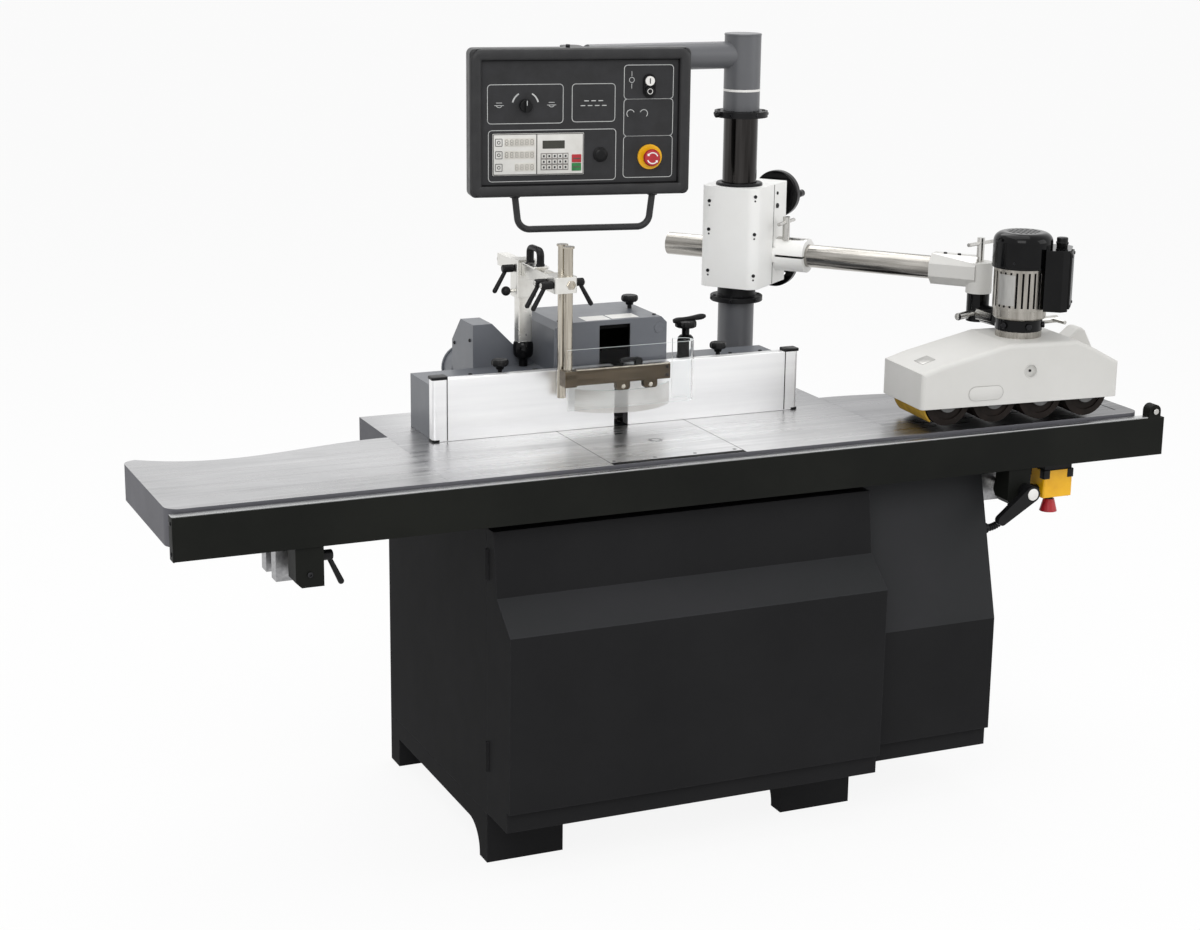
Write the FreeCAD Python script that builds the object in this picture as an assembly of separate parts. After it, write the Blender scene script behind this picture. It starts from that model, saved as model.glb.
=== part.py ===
import FreeCAD, Part
import math
import os

V = FreeCAD.Vector

# Spindle moulder with sliding front rail, fence hood, overarm guard, control panel and power feeder.
# Frame: origin on the floor under the spindle axis, X to the operator's right, Y to the rear, Z up.

# Common clearances
OVERRUN = 5.0
SEAT = 0.3
FIT = 0.05

# Base and cabinet
CAB_LEFT = -434.0
CAB_RIGHT = 483.0
CAB_FRONT = -316.0
CAB_REAR = 347.0
CAB_BASE = 116.0
CAB_WALL = 4.0
CAB_TOP_OPEN_X = 390.0
CAB_TOP_OPEN_Y = 210.0
FOOT_WIDE = 182.0
FOOT_FRONT_DEEP = 46.0
FOOT_REAR_DEEP = 60.0
ARCH_HIGH = 71.0
ARCH_ROUND = 66.0
ANCHOR_R = 9.0
ANCHOR_INSET = 23.0
RIGHT_FOOT_LEFT = 301.0

# Front door with its folded nose and plinth strip
DOOR_TOP = 776.0
DOOR_UPPER_Y = -356.0
DOOR_FOLD_Y = -376.0
DOOR_FOLD_Z = 633.0
DOOR_NOSE_Y = -455.0
DOOR_NOSE_Z = 568.0
DOOR_LOW_Y = -451.0
DOOR_LOW_Z = 166.0
PLINTH_SET = 15.0
PLINTH_Z = 119.0
DOOR_WALL = 3.0
DOOR_HINGE_R = 5.0
DOOR_HINGE_LONG = 70.0
DOOR_HINGE_LOW = 220.0
DOOR_HINGE_HIGH = 660.0

# Side cabinet on the right
SIDE_RIGHT = 815.0
SIDE_TOP = 790.0
SIDE_TOP_Y = -300.0
SIDE_CREASE_Z = 441.0
SIDE_FACE_Y = -393.0
SIDE_REAR = 300.0

# Table castings
TABLE_TOP = 900.0
TABLE_THICK = 80.0
PLATE_THICK = 30.0
RIB = 40.0
TABLE_FRONT = -366.0
TABLE_REAR = 248.0
CENTRE_LEFT = -535.0
CENTRE_RIGHT = 565.0
WING_LEFT = -1132.0
WING_RIGHT = 1212.0
WING_JOIN_Y = 40.0
WING_WAIST_Y = -15.0
WING_END_Y = 46.0
WING_WAIST_SHARE = 0.60
WING_SHOULDER_SHARE = 0.20
WING_CORNER = 30.0
END_GROOVE_X = 1167.0
END_GROOVE_WIDE = 4.0
END_GROOVE_DEEP = 6.0
GUIDE_PAD = 60.0

# Table insert over the spindle
INSERT_HALF = 160.0
INSERT_FRONT = -348.0
INSERT_REAR = 150.0
INSERT_THICK = 12.0
INSERT_SLOT = 4.0
INSERT_GAP = 0.5
INSERT_HOLE_R = 48.0
INSERT_OPEN_X = 130.0
INSERT_OPEN_Y = 135.0
PLUG_X = 17.0
PLUG_Y = -196.0
PLUG_R = 18.0
PLUG_GROOVE = 2.0
INSERT_SCREW_R = 5.0
INSERT_SCREW_EDGE = 14.0

# Front rail, its guide bars and their bearing blocks
RAIL_LEFT = -1128.0
RAIL_RIGHT = 1261.0
RAIL_FRONT = -395.0
RAIL_DEEP = 27.0
RAIL_LOW = 799.0
RAIL_HIGH = 890.0
RAIL_WALL = 4.0
STRIP_INSET = 3.0
STRIP_HIGH = 3.0
EAR_X = 1234.0
EAR_Z = 906.0
EAR_R = 16.0
EAR_SCREW_R = 5.0
EAR_SCREW_HIGH = 3.0
GUIDE_LEFT_X = -847.0
GUIDE_RIGHT_X = 865.0
GUIDE_Z = 740.0
GUIDE_R = 15.0
GUIDE_BACK = 120.0
BRACKET_WIDE = 60.0
BRACKET_LOW = 713.0
BRACKET_FRONT = -390.0
BRACKET_BACK = -335.0
BRACKET_CHAMFER = 12.0
BUMPER_R = 27.0
BUMPER_LONG = 12.0
BLOCK_WIDE = 88.0
BLOCK_LOW = 700.0
BLOCK_FRONT_Y = -290.0
BLOCK_REAR_Y = -215.0
BLOCK_DEEP = 34.0

# Clamp levers of the rail
LEVER_HUB_R = 11.0
LEVER_HUB_LONG = 26.0
LEVER_ARM_R = 5.0
LEVER_TIP_R = 6.5
LEVER_REACH = 66.0
LEVER_LEAN_DEG = 25.0
LEVER_ROOT_SHARE = 0.6
LEVER_LEFT_Y = -362.0
LEVER_LEFT_Z = 770.0
BIG_HUB_R = 19.0
BIG_HUB_LONG = 34.0
BIG_LEVER_X = 881.0
BIG_LEVER_Z = 744.0
BIG_LEVER_REACH = 96.0
BIG_LEVER_DEG = 215.0
BIG_LEVER_WIDE = 24.0
BIG_LEVER_THICK = 16.0
BIG_CAP_R = 11.0
BIG_CAP_HIGH = 2.0

# Low stop box under the right wing, with its conduit
STOPBOX_X = 1005.0
STOPBOX_Y = -311.0
STOPBOX_WIDE = 82.0
STOPBOX_DEEP = 68.0
STOPBOX_LOW = 706.0
STOPBOX_SPLIT = 772.0
STOPBOX_ROUND = 6.0
STOPBOX_LIP = 3.0
LOW_STEM_R = 10.0
LOW_STEM_LONG = 12.0
LOW_BUTTON_TOP_R = 13.0
LOW_BUTTON_R = 21.0
LOW_BUTTON_HIGH = 30.0
CONDUIT_R = 9.0
CONDUIT_ROOT_R = 7.2
CONDUIT_BORE_R = 5.5
CONDUIT_RIBS = 36
CONDUIT_ROOT_SHARES = (0.0, 0.35)
CONDUIT_CREST_SHARES = (0.5, 0.85)
CONDUIT_BEND = 36.0
GLAND_R = 12.0
CONDUIT_ROUTE = ((950.0, -318.0, 722.0), (910.0, -318.0, 722.0), (869.0, -318.0, 640.0),
                 (829.0, -318.0, 640.0))

# Lift unit inside the cabinet
WAYS_HALF = 120.0
WAYS_FRONT = 122.0
WAYS_THICK = 28.0
WAYS_LOW = 330.0
WAY_X = 92.0
WAY_WIDE = 36.0
WAY_DEEP = 26.0
CARRIAGE_LOW = 470.0
CARRIAGE_HIGH = 725.0
CARRIAGE_THICK = 24.0
HOUSING_R = 62.0
HOUSING_LOW = 500.0
HOUSING_HIGH = 740.0
BEARING_R = 45.0
BEARING_HIGH = 26.0
BEARING_SET = 14.0
SHAFT_R = 22.5
ARBOR_R = 17.5
ARBOR_LONG = 120.0
SHAFT_TOP = 890.0
COLLAR_R = 21.5
COLLAR_HIGH = 14.0
THREAD_R = 12.0
THREAD_LONG = 22.0
PULLEY_R = 60.0
PULLEY_LOW = 420.0
PULLEY_HIGH = 47.0
PULLEY_GROOVE = 4.0
PULLEY_RIM = 4.0
MOTOR_X = 262.0
MOTOR_Y = 0.0
MOTOR_R = 98.0
MOTOR_SHAFT_R = 14.0
MOTOR_GAP = 5.0
MOTOR_PULLEY_R = 80.0
MOTOR_LOW = 505.0
MOTOR_HIGH = 735.0
MOTOR_PLATE = 18.0
MOTOR_FINS = 20
MOTOR_FIN_DEEP = 8.0
MOTOR_FIN_WIDE = 6.0
BELT_THICK = 6.0
SCREW_R = 12.0
SCREW_X = 0.0
SCREW_Y = 92.0
SCREW_LOW = 345.0
SCREW_BRACKET = 20.0

# Fence hood and dust chute
FENCE_FACE = -44.0
FENCE_THICK = 28.0
HOOD_LEFT = -149.0
HOOD_RIGHT = 133.0
HOOD_FRONT = 0.0
HOOD_REAR = 200.0
HOOD_TOP = 1139.0
HOOD_WALL = 8.0
HOOD_BEVEL = 14.0
WINDOW_LEFT = -37.0
WINDOW_RIGHT = 40.0
WINDOW_TOP = 1128.0
DECK_LEFT = -452.0
DECK_RIGHT = 440.0
DECK_HIGH = 124.0
DECK_REAR = 122.0
DECK_SLOT_WIDE = 12.0
DECK_SLOT_X = 170.0
DECK_SLOT_LONG = 76.0
CAP_R = 12.0
CAP_HIGH = 2.0
CHUTE_LEFT = -300.0
CHUTE_RIGHT = -205.0
CHUTE_SHOULDER = 48.0
CHUTE_FRONT = 124.0
CHUTE_MID = 205.0
CHUTE_REAR = 262.0
CHUTE_TOP = 1124.0
CHUTE_DROP = 1066.0
CHUTE_WALL = 4.0
SPIGOT_R = 50.0
SPIGOT_WALL = 3.0
SPIGOT_LONG = 60.0
SPIGOT_Z = 985.0
PORT_Z = 232.0

# Fence plates
FENCE_TOP = 1041.0
FENCE_LIFT = 0.5
FENCE_INNER = 17.5
FENCE_OUTER = 424.0
FENCE_END = 458.0
FENCE_GROOVE_WIDE = 10.0
FENCE_GROOVE_DEEP = 9.0
FENCE_GROOVE_SET = 40.0
FENCE_ROUND = 8.0
ENDCAP_HIGH = 5.0

# Black clamp knobs of the fence and hood
KNOB_R = 19.0
KNOB_HIGH = 16.0
KNOB_STEM_R = 5.0
KNOB_STEM_LONG = 16.0
KNOB_NECK_R = 9.0
KNOB_X = 275.0
KNOB_Y = 16.0
HOOD_KNOB_X = 92.0
HOOD_KNOB_Y = 120.0
ADJUST_X = 212.0
ADJUST_Y = 62.0
ADJUST_R = 20.0
ADJUST_HIGH = 54.0
ADJUST_WHEEL_R = 26.0
ADJUST_WHEEL_HIGH = 18.0
ADJUST_LEVER_LONG = 70.0
ADJUST_LEVER_R = 7.0

# Overarm guard
POST_X = -183.0
POST_Y = 105.0
POST_WIDE = 34.0
POST_DEEP = 28.0
POST_TOP = 1220.0
POST_BOSS_R = 24.0
POST_BOSS_HIGH = 40.0
HEAD_WALL = 7.0
HEAD_GAP = 16.0
HEAD_LOW = 1188.0
HEAD_DEEP = 44.0
BEAM_WIDE = 26.0
BEAM_LOW = 1240.0
BEAM_HIGH = 1268.0
BEAM_REAR = 236.0
BEAM_FRONT = -48.0
ROD_X = -158.0
ROD_R = 10.0
ROD_REAR_Y = -66.0
ROD_FRONT_Y = -102.0
ROD_TOP = 1329.0
ROD_CAP_R = 13.0
ROD_CAP_HIGH = 4.0
ROD_LEFT_LOW = 984.0
CLAMP_LOW = 1231.0
CLAMP_HIGH = 1267.0
CLAMP_MARGIN = 16.0
HANDLE_FRONT = 2.0
HANDLE_REAR = 68.0
HANDLE_HIGH = 34.0
HANDLE_BAR = 13.0
HANDLE_PLATE_WIDE = 38.0
HANDLE_PLATE_THICK = 5.0
GUARD_HUB_R = 9.0
GUARD_HUB_LONG = 28.0
GUARD_LEVER_R = 4.5
GUARD_TIP_R = 5.5
GUARD_LEVER_REACH = 58.0
GUARD_LEVER_LEAN = 30.0
BALL_R = 11.0
BALL_STEM_R = 4.0
BALL_STEM_LONG = 10.0
BALL_SINK_SHARE = 0.8
PRESS_RIGHT = 92.0
PRESS_LOW = 1018.0
PRESS_HIGH = 1054.0
PRESS_THICK = 14.0
PRESS_TAB_WIDE = 34.0
PRESS_TAB_DROP = 18.0
PRESS_TAB_THICK = 4.0
PRESS_TAB_X = -42.0
PRESS_TAB_PITCH = 68.0
PRESS_LEVER_X = 14.0
SHEET = 4.0
CLEAR_LEFT = -168.0
CLEAR_RIGHT = 150.0
CLEAR_LOW = 966.0
CLEAR_HIGH = 1104.0
CLEAR_BEND = 22.0
CLEAR_FRONT = -126.0
CLEAR_RETURN = 20.0
SHOE_HALF = 118.0
SHOE_X = -6.0
SHOE_BOW = 52.0
SHOE_LOW = 948.0
SHOE_THICK = 6.0
SHOE_ENDS_Y = -62.0

# Column at the rear of the table
COLUMN_X = 463.0
COLUMN_Y = 295.0
CORE_R = 42.0
CORE_BORE_R = 34.0
SLEEVE_R = 44.5
SLEEVE_TOP = 1104.0
COLUMN_COLLAR_R = 65.0
COLLAR_UP_LOW = 1557.0
COLLAR_UP_HIGH = 1572.0
COLUMN_TOP = 1757.0
COLUMN_CAP = 6.0
BASE_HALF = 80.0
BASE_BOSS_R = 62.0
BASE_BOSS_TOP = 930.0

# Feeder stand on the column
COLLAR_LOW_HIGH = 1132.0
STAND_NECK_R = 47.0
STAND_LOW = 1143.0
STAND_HIGH = 1391.0
STAND_FRONT = 64.0
STAND_EDGE = 26.0
STAND_HALF = 76.0
STAND_BACK = 128.0
STAND_ROUND = 8.0
STAND_SPLIT = 3.0
STAND_SPLIT_V = 44.0
ARM_R = 28.0
ARM_BORE_R = 20.0
ARM_V = 80.0
ARM_Z = 1216.0
ARM_START = -224.0
ARM_END = 556.0
ARM_DEG = -50.8
ARM_BOSS_R = 42.0
ARM_BOSS_END = 156.0
ARM_SLOT = 5.0
WHEEL_R = 59.0
WHEEL_THICK = 24.0
WHEEL_HUB_R = 16.0
WHEEL_SHAFT_R = 8.0
WHEEL_STAND_OFF = 22.0
WHEEL_U = 34.0
WHEEL_HIGH_Z = 1352.0
WHEEL_LOW_Z = 1176.0
WHEEL_RIM = 9.0
WHEEL_SPOKES = 3
WHEEL_SPOKE_R = 5.0
GRIP_R = 7.0
GRIP_LONG = 30.0

# T screws of the feeder
TSCREW_R = 9.0
TSCREW_LONG = 58.0
TBAR_R = 4.5
TBAR_LONG = 96.0
ARM_SCREW_U = 104.0
ARM_SCREW_SHARE = 0.9

# Swivel elbow and joint at the arm end
ELBOW_FLATS = 37.0
ELBOW_START = 481.0
ELBOW_U = 597.0
ELBOW_R = 31.0
ELBOW_LOW = 1166.0
ELBOW_HIGH = 1240.0
JOINT_R = 27.0
JOINT_PIN_R = 15.0
JOINT_PIN_LONG = 40.0
JOINT_PIN_GAP = 5.0
JOINT_LOW = 1098.0
JOINT_STUB_R = 22.0
JOINT_STUB_SHARE = 0.5
JOINT_NECK_HALF = 20.0
JOINT_SCREW_DEG = 205.0
RING_SCREW_DEG = 5.0
ELBOW_BAR_DEG = 20.0
RING_R = 55.0
RING_LOW = 1105.0
RING_HIGH = 1131.0

# Power feeder, in its own frame: along its length, across to the rear
FEED_X = 632.0
FEED_Y = -345.0
FEED_DEG = -4.0
FEED_LONG = 500.0
FEED_DEEP = 200.0
FEED_LOW = 949.0
FEED_SHOULDER = 1032.0
FEED_TOP = 1089.0
FEED_NOSE_SHARE = -0.03
FEED_NOSE_TOP_SHARE = 0.08
FEED_NOSE_RISE = 17.0
FEED_RAMP_SHARE = 0.42
FEED_FLAT_SHARE = 0.77
FEED_TAIL_SHARE = 0.86
FEED_TAIL_DROP = 20.0
FEED_ROUND = 10.0
FEED_WALL = 10.0
FEED_DIMPLE_R = 15.0
FEED_DIMPLE_DEEP = 6.0
FEED_DIMPLE_SHARE = 0.53
FEED_DIMPLE_Z = 1024.0
MOTOR_ALONG = 283.0
MOTOR_ACROSS = 100.0
ROLLERS = 4
ROLLER_R = 56.0
ROLLER_FIRST = 62.0
ROLLER_PITCH = 121.0
ROLLER_Z = 960.0
ROLLER_FRONT = 18.0
ROLLER_LONG = 150.0
ROLLER_TYRE = 14.0
ROLLER_AXLE_R = 9.0
ROLLER_CAP_R = 24.0
ROLLER_CAP_HIGH = 4.0
ROLLER_GROOVE = 2.0
ROLLER_BAND_COUNT = 5
FEED_RING_HIGH = 1104.0
FEED_NECK_R = 46.0
FEED_RING_R = 54.0
FEED_FLANGE_HIGH = 1155.0
FEED_FLANGE_R = 62.0
FEED_MOTOR_R = 64.0
FEED_MOTOR_HIGH = 1252.0
FEED_FINS = 28
FEED_FIN_WIDE = 5.0
FEED_FIN_DEEP = 7.0
FAN_R = 69.0
FAN_TOP = 1334.0
FAN_ROUND = 22.0
FAN_SLOTS = 7
FAN_SLOT_WIDE = 5.0
FAN_SLOT_LONG = 76.0
FAN_SLOT_DEEP = 10.0
TERMINAL_NEAR = 58.0
TERMINAL_FAR = 112.0
TERMINAL_HALF = 52.0
TERMINAL_LOW = 1157.0
TERMINAL_HIGH = 1300.0
TERMINAL_CHAMFER = 14.0
TERMINAL_DEG = -35.0

# Control panel and its arm
PANEL_ARM_R = 32.5
PANEL_ARM_BORE_R = 28.0
PANEL_ARM_Z = 1706.0
PANEL_PIVOT_X = 9.0
PANEL_PIVOT_R = 36.0
PANEL_PIVOT_HALF = 19.0
PANEL_PIVOT_PIN_R = 12.0
PANEL_DEG = -10.0
PANEL_WIDE = 526.0
PANEL_HIGH = 342.0
PANEL_MID_Z = 1567.0
PANEL_SHIFT = 8.0
PANEL_DEEP = 46.0
PANEL_STAND = 90.0
PANEL_CORNER = 14.0
FRAME_WIDE = 27.0
FRAME_PROUD = 10.0
FRAME_ROUND = 6.0
LUG_HALF = 24.0
LUG_SWEEP_R = 46.0
LUG_THICK = 12.0
RAISED = 1.2
PAD_LEFT = -209.0
PAD_RIGHT = 8.0
PAD_LOW = -121.0
PAD_HIGH = -24.0
PAD_THICK = 4.0
KEY_SIDE = 9.0
KEY_HIGH = 1.5
KEY_PITCH = 13.0
KEY_COLUMNS = 6
KEY_ROWS = 3
KEY_FIRST_U = -82.0
KEY_FIRST_W = -72.0
SCREEN_LEFT = -92.0
SCREEN_RIGHT = -37.0
SCREEN_LOW = -59.0
SCREEN_HIGH = -40.0
SELECT_U = -131.0
SELECT_W = 40.0
SELECT_R = 15.0
SELECT_HIGH = 14.0
SELECT_GRIP = 7.0
SELECT_GRIP_SHARE = 0.9
PLUG_U = 48.0
PLUG_W = -76.0
PANEL_PLUG_R = 15.0
PANEL_PLUG_HIGH = 6.0
SWITCH_U = 164.0
SWITCH_W = 82.0
SWITCH_R = 11.0
SWITCH_HIGH = 10.0
SWITCH_GAP = 24.0
STOP_U = 167.0
STOP_W = -83.0
STOP_COLLAR_R = 29.0
STOP_COLLAR_HIGH = 6.0
STOP_STEM_R = 9.0
STOP_HEAD_R = 20.0
STOP_HEAD_HIGH = 14.0
STOP_RISE = 12.0
BUTTON_HOLE = 0.5
GRAB_R = 8.0
GRAB_LEFT = -153.0
GRAB_RIGHT = 179.0
GRAB_DROP = 80.0
GRAB_TAPER = 40.0
GRAB_BEND = 40.0

# Sizes that follow from the values above
TABLE_LOW = TABLE_TOP - TABLE_THICK
DECK_TOP = TABLE_TOP + DECK_HIGH
RAIL_REAR = RAIL_FRONT + RAIL_DEEP
PLINTH_Y = DOOR_LOW_Y + PLINTH_SET
FENCE_BACK = FENCE_FACE + FENCE_THICK
DECK_FRONT = FENCE_BACK + SEAT
TABLE_SEAT = TABLE_TOP + SEAT
COLUMN_LOW = TABLE_LOW + SEAT
X_AXIS = V(1, 0, 0)
Y_AXIS = V(0, 1, 0)
Z_AXIS = V(0, 0, 1)


def block(x0, x1, y0, y1, z0, z1):
    return Part.makeBox(x1 - x0, y1 - y0, z1 - z0, V(x0, y0, z0))


def rod(radius, start, end):
    along = end - start
    return Part.makeCylinder(radius, along.Length, start, along)


def tube(outer, inner, start, end):
    along = (end - start).normalize() * OVERRUN
    return rod(outer, start, end).cut(rod(inner, start - along, end + along))


def upright(radius, x, y, z0, z1):
    return rod(radius, V(x, y, z0), V(x, y, z1))


def prism(points, run):
    ring = list(points) + [points[0]]
    return Part.Face(Part.makePolygon(ring)).extrude(run)


def prism_x(yz, x0, x1):
    return prism([V(x0, y, z) for y, z in yz], V(x1 - x0, 0, 0))


def prism_y(xz, y0, y1):
    return prism([V(x, y0, z) for x, z in xz], V(0, y1 - y0, 0))


def fused(first, *others):
    return first.fuse(list(others)).removeSplitter()


def placed(shape, origin, degrees):
    moved = shape.copy()
    moved.Placement = FreeCAD.Placement(origin, FreeCAD.Rotation(Z_AXIS, degrees)).multiply(moved.Placement)
    return moved


def rounded(shape, radius, keep):
    edges = [e for e in shape.Edges if keep(e)]
    return shape.makeFillet(radius, edges)


def is_along(edge, axis):
    if not isinstance(edge.Curve, Part.Line):
        return False
    return abs(edge.Curve.Direction.dot(axis)) > math.cos(math.radians(1))


def bent_path(points, bend):
    edges = []
    start = points[0]
    for before, corner, after in zip(points, points[1:], points[2:]):
        back = (before - corner).normalize()
        on = (after - corner).normalize()
        half = back.getAngle(on) / 2
        reach = bend / math.tan(half)
        inward = (back + on).normalize()
        enter = corner + back * reach
        leave = corner + on * reach
        middle = corner + inward * (bend / math.sin(half) - bend)
        edges.append(Part.makeLine(start, enter))
        edges.append(Part.Arc(enter, middle, leave).toShape())
        start = leave
    edges.append(Part.makeLine(start, points[-1]))
    return Part.Wire(edges)


def bent_tube(points, bend, radius):
    section = Part.Wire(Part.makeCircle(radius, points[0], points[1] - points[0]))
    return bent_path(points, bend).makePipeShell([section], True, False)


def write(name, *solids):
    shape = solids[0] if len(solids) == 1 else Part.makeCompound(list(solids))
    shape.exportStep("parts/" + name + ".step")


def base_rail(left):
    right = left + FOOT_WIDE
    front_in = CAB_FRONT + FOOT_FRONT_DEEP
    rear_in = CAB_REAR - FOOT_REAR_DEEP
    body = block(left, right, CAB_FRONT, CAB_REAR, 0, CAB_BASE)
    arch = block(left - OVERRUN, right + OVERRUN, front_in, rear_in, -OVERRUN, ARCH_HIGH)
    arch = rounded(arch, ARCH_ROUND,
                   lambda e: is_along(e, X_AXIS) and e.BoundBox.ZMin > 0 and e.BoundBox.YMax < 0)
    body = body.cut(arch)
    for y in (CAB_FRONT + ANCHOR_INSET, CAB_REAR - ANCHOR_INSET):
        body = body.cut(upright(ANCHOR_R, left + FOOT_WIDE / 2, y, -OVERRUN, CAB_BASE + OVERRUN))
    return body


def cabinet_base():
    write("cabinet_base", base_rail(CAB_LEFT), base_rail(RIGHT_FOOT_LEFT))


def cabinet_body():
    low = CAB_BASE + SEAT
    body = block(CAB_LEFT, CAB_RIGHT, CAB_FRONT, CAB_REAR, low, TABLE_LOW)
    hollow = block(CAB_LEFT + CAB_WALL, CAB_RIGHT - CAB_WALL, CAB_FRONT - OVERRUN, CAB_REAR - CAB_WALL,
                   low + CAB_WALL, TABLE_LOW - CAB_WALL)
    opening = block(-CAB_TOP_OPEN_X, CAB_TOP_OPEN_X, -CAB_TOP_OPEN_Y, CAB_TOP_OPEN_Y,
                    TABLE_LOW - CAB_WALL - OVERRUN, TABLE_LOW + OVERRUN)
    port = rod(SPIGOT_R, V(0, CAB_REAR - CAB_WALL - OVERRUN, PORT_Z), V(0, CAB_REAR + OVERRUN, PORT_Z))
    spigot = tube(SPIGOT_R + SPIGOT_WALL, SPIGOT_R, V(0, CAB_REAR - CAB_WALL, PORT_Z),
                  V(0, CAB_REAR + SPIGOT_LONG, PORT_Z))
    write("cabinet_body", fused(body.cut(hollow).cut(opening).cut(port), spigot))


def front_door():
    back = CAB_FRONT - SEAT
    outline = [(back, DOOR_TOP), (DOOR_UPPER_Y, DOOR_TOP), (DOOR_FOLD_Y, DOOR_FOLD_Z),
               (DOOR_NOSE_Y, DOOR_NOSE_Z),
               (DOOR_LOW_Y, DOOR_LOW_Z), (PLINTH_Y, DOOR_LOW_Z), (PLINTH_Y, PLINTH_Z), (back, PLINTH_Z)]
    w = DOOR_WALL
    deep = back + OVERRUN
    inner = [(deep, DOOR_TOP - w), (DOOR_UPPER_Y + w, DOOR_TOP - w), (DOOR_FOLD_Y + w, DOOR_FOLD_Z - w),
             (DOOR_NOSE_Y + w, DOOR_NOSE_Z - w), (DOOR_LOW_Y + w, DOOR_LOW_Z + w),
             (PLINTH_Y + w, DOOR_LOW_Z + w),
             (PLINTH_Y + w, PLINTH_Z + w), (deep, PLINTH_Z + w)]
    left = CAB_LEFT
    right = CAB_RIGHT - SEAT
    door = prism_x(outline, left, right).cut(prism_x(inner, left + w, right - w))
    for low in (DOOR_HINGE_LOW, DOOR_HINGE_HIGH):
        knuckle = upright(DOOR_HINGE_R, left, back - DOOR_HINGE_R, low, low + DOOR_HINGE_LONG)
        door = door.fuse(knuckle)
    write("front_door", door.removeSplitter())


def side_cabinet():
    w = CAB_WALL
    plinth = SIDE_FACE_Y + PLINTH_SET
    outline = [(SIDE_REAR, SIDE_TOP), (SIDE_TOP_Y, SIDE_TOP), (SIDE_FACE_Y, SIDE_CREASE_Z),
               (SIDE_FACE_Y, DOOR_LOW_Z),
               (plinth, DOOR_LOW_Z), (plinth, PLINTH_Z), (SIDE_REAR, PLINTH_Z)]
    inner = [(SIDE_REAR - w, SIDE_TOP - w), (SIDE_TOP_Y + w, SIDE_TOP - w),
             (SIDE_FACE_Y + w, SIDE_CREASE_Z),
             (SIDE_FACE_Y + w, DOOR_LOW_Z + w), (plinth + w, DOOR_LOW_Z + w), (plinth + w, PLINTH_Z + w),
             (SIDE_REAR - w, PLINTH_Z + w)]
    left = CAB_RIGHT + SEAT
    shell = prism_x(outline, left, SIDE_RIGHT).cut(prism_x(inner, left - OVERRUN, SIDE_RIGHT - w))
    end = V(*CONDUIT_ROUTE[3])
    gland = rod(GLAND_R, V(SIDE_RIGHT - w, end.y, end.z), end - X_AXIS * SEAT)
    write("side_cabinet", fused(shell, gland))


def centre_table():
    table = block(CENTRE_LEFT, CENTRE_RIGHT, TABLE_FRONT, TABLE_REAR, TABLE_LOW, TABLE_TOP)
    pocket = block(CAB_LEFT + RIB, CAB_RIGHT - RIB, CAB_FRONT + RIB, TABLE_REAR - RIB,
                   TABLE_LOW - OVERRUN, TABLE_TOP - PLATE_THICK)
    seat = block(-INSERT_HALF - INSERT_GAP, INSERT_HALF + INSERT_GAP, INSERT_FRONT - INSERT_SLOT,
                 INSERT_REAR + INSERT_GAP, TABLE_TOP - INSERT_THICK, TABLE_TOP + OVERRUN)
    opening = block(-INSERT_OPEN_X, INSERT_OPEN_X, -INSERT_OPEN_Y, INSERT_OPEN_Y, TABLE_LOW, TABLE_TOP)
    bridge = block(-WAYS_HALF, WAYS_HALF, INSERT_OPEN_Y, WAYS_FRONT + WAYS_THICK + RIB,
                   TABLE_LOW, TABLE_TOP - PLATE_THICK)
    write("centre_table", fused(table.cut(pocket), bridge).cut(seat).cut(opening))


def wing(joint, end, guide):
    run = end - joint
    side = 1 if run > 0 else -1
    joint = joint + side * SEAT
    shoulder = V(joint + run * WING_SHOULDER_SHARE,
                 WING_JOIN_Y - (WING_JOIN_Y - WING_WAIST_Y) * WING_SHOULDER_SHARE, TABLE_LOW)
    waist = V(joint + run * WING_WAIST_SHARE, WING_WAIST_Y, TABLE_LOW)
    rear_join = V(joint, WING_JOIN_Y, TABLE_LOW)
    rear_end = V(end - side * WING_CORNER, WING_END_Y, TABLE_LOW)
    curve = Part.BSplineCurve()
    curve.interpolate([rear_join, shoulder, waist, rear_end])
    corner = WING_CORNER - WING_CORNER * math.cos(math.pi / 4)
    side_rear = V(end, WING_END_Y - WING_CORNER, TABLE_LOW)
    side_front = V(end, TABLE_FRONT + WING_CORNER, TABLE_LOW)
    front_end = V(end - side * WING_CORNER, TABLE_FRONT, TABLE_LOW)
    front_join = V(joint, TABLE_FRONT, TABLE_LOW)
    rear_arc = Part.Arc(rear_end, V(end - side * corner, WING_END_Y - corner, TABLE_LOW), side_rear)
    front_arc = Part.Arc(side_front, V(end - side * corner, TABLE_FRONT + corner, TABLE_LOW), front_end)
    outline = Part.Wire([curve.toShape(), rear_arc.toShape(), Part.makeLine(side_rear, side_front),
                         front_arc.toShape(),
                         Part.makeLine(front_end, front_join), Part.makeLine(front_join, rear_join)])
    body = Part.Face(outline).extrude(V(0, 0, TABLE_THICK))
    front = TABLE_FRONT + RIB
    deep = (WING_WAIST_Y - RIB - front - RIB) / 2
    inner = (joint + side * RIB, guide - side * GUIDE_PAD)
    outer = (guide + side * GUIDE_PAD, end - side * (RIB + WING_CORNER))
    for near, far in (inner, outer):
        for y in (front, front + deep + RIB):
            pocket = block(min(near, far), max(near, far), y, y + deep, TABLE_LOW - OVERRUN,
                           TABLE_TOP - PLATE_THICK)
            body = body.cut(pocket)
    return body


def wings():
    write("left_wing", wing(CENTRE_LEFT, WING_LEFT, GUIDE_LEFT_X))
    right = wing(CENTRE_RIGHT, WING_RIGHT, GUIDE_RIGHT_X)
    groove = block(END_GROOVE_X, END_GROOVE_X + END_GROOVE_WIDE, TABLE_FRONT + RIB, WING_END_Y + OVERRUN,
                   TABLE_TOP - END_GROOVE_DEEP, TABLE_TOP + OVERRUN)
    write("right_wing", right.cut(groove))


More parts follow.
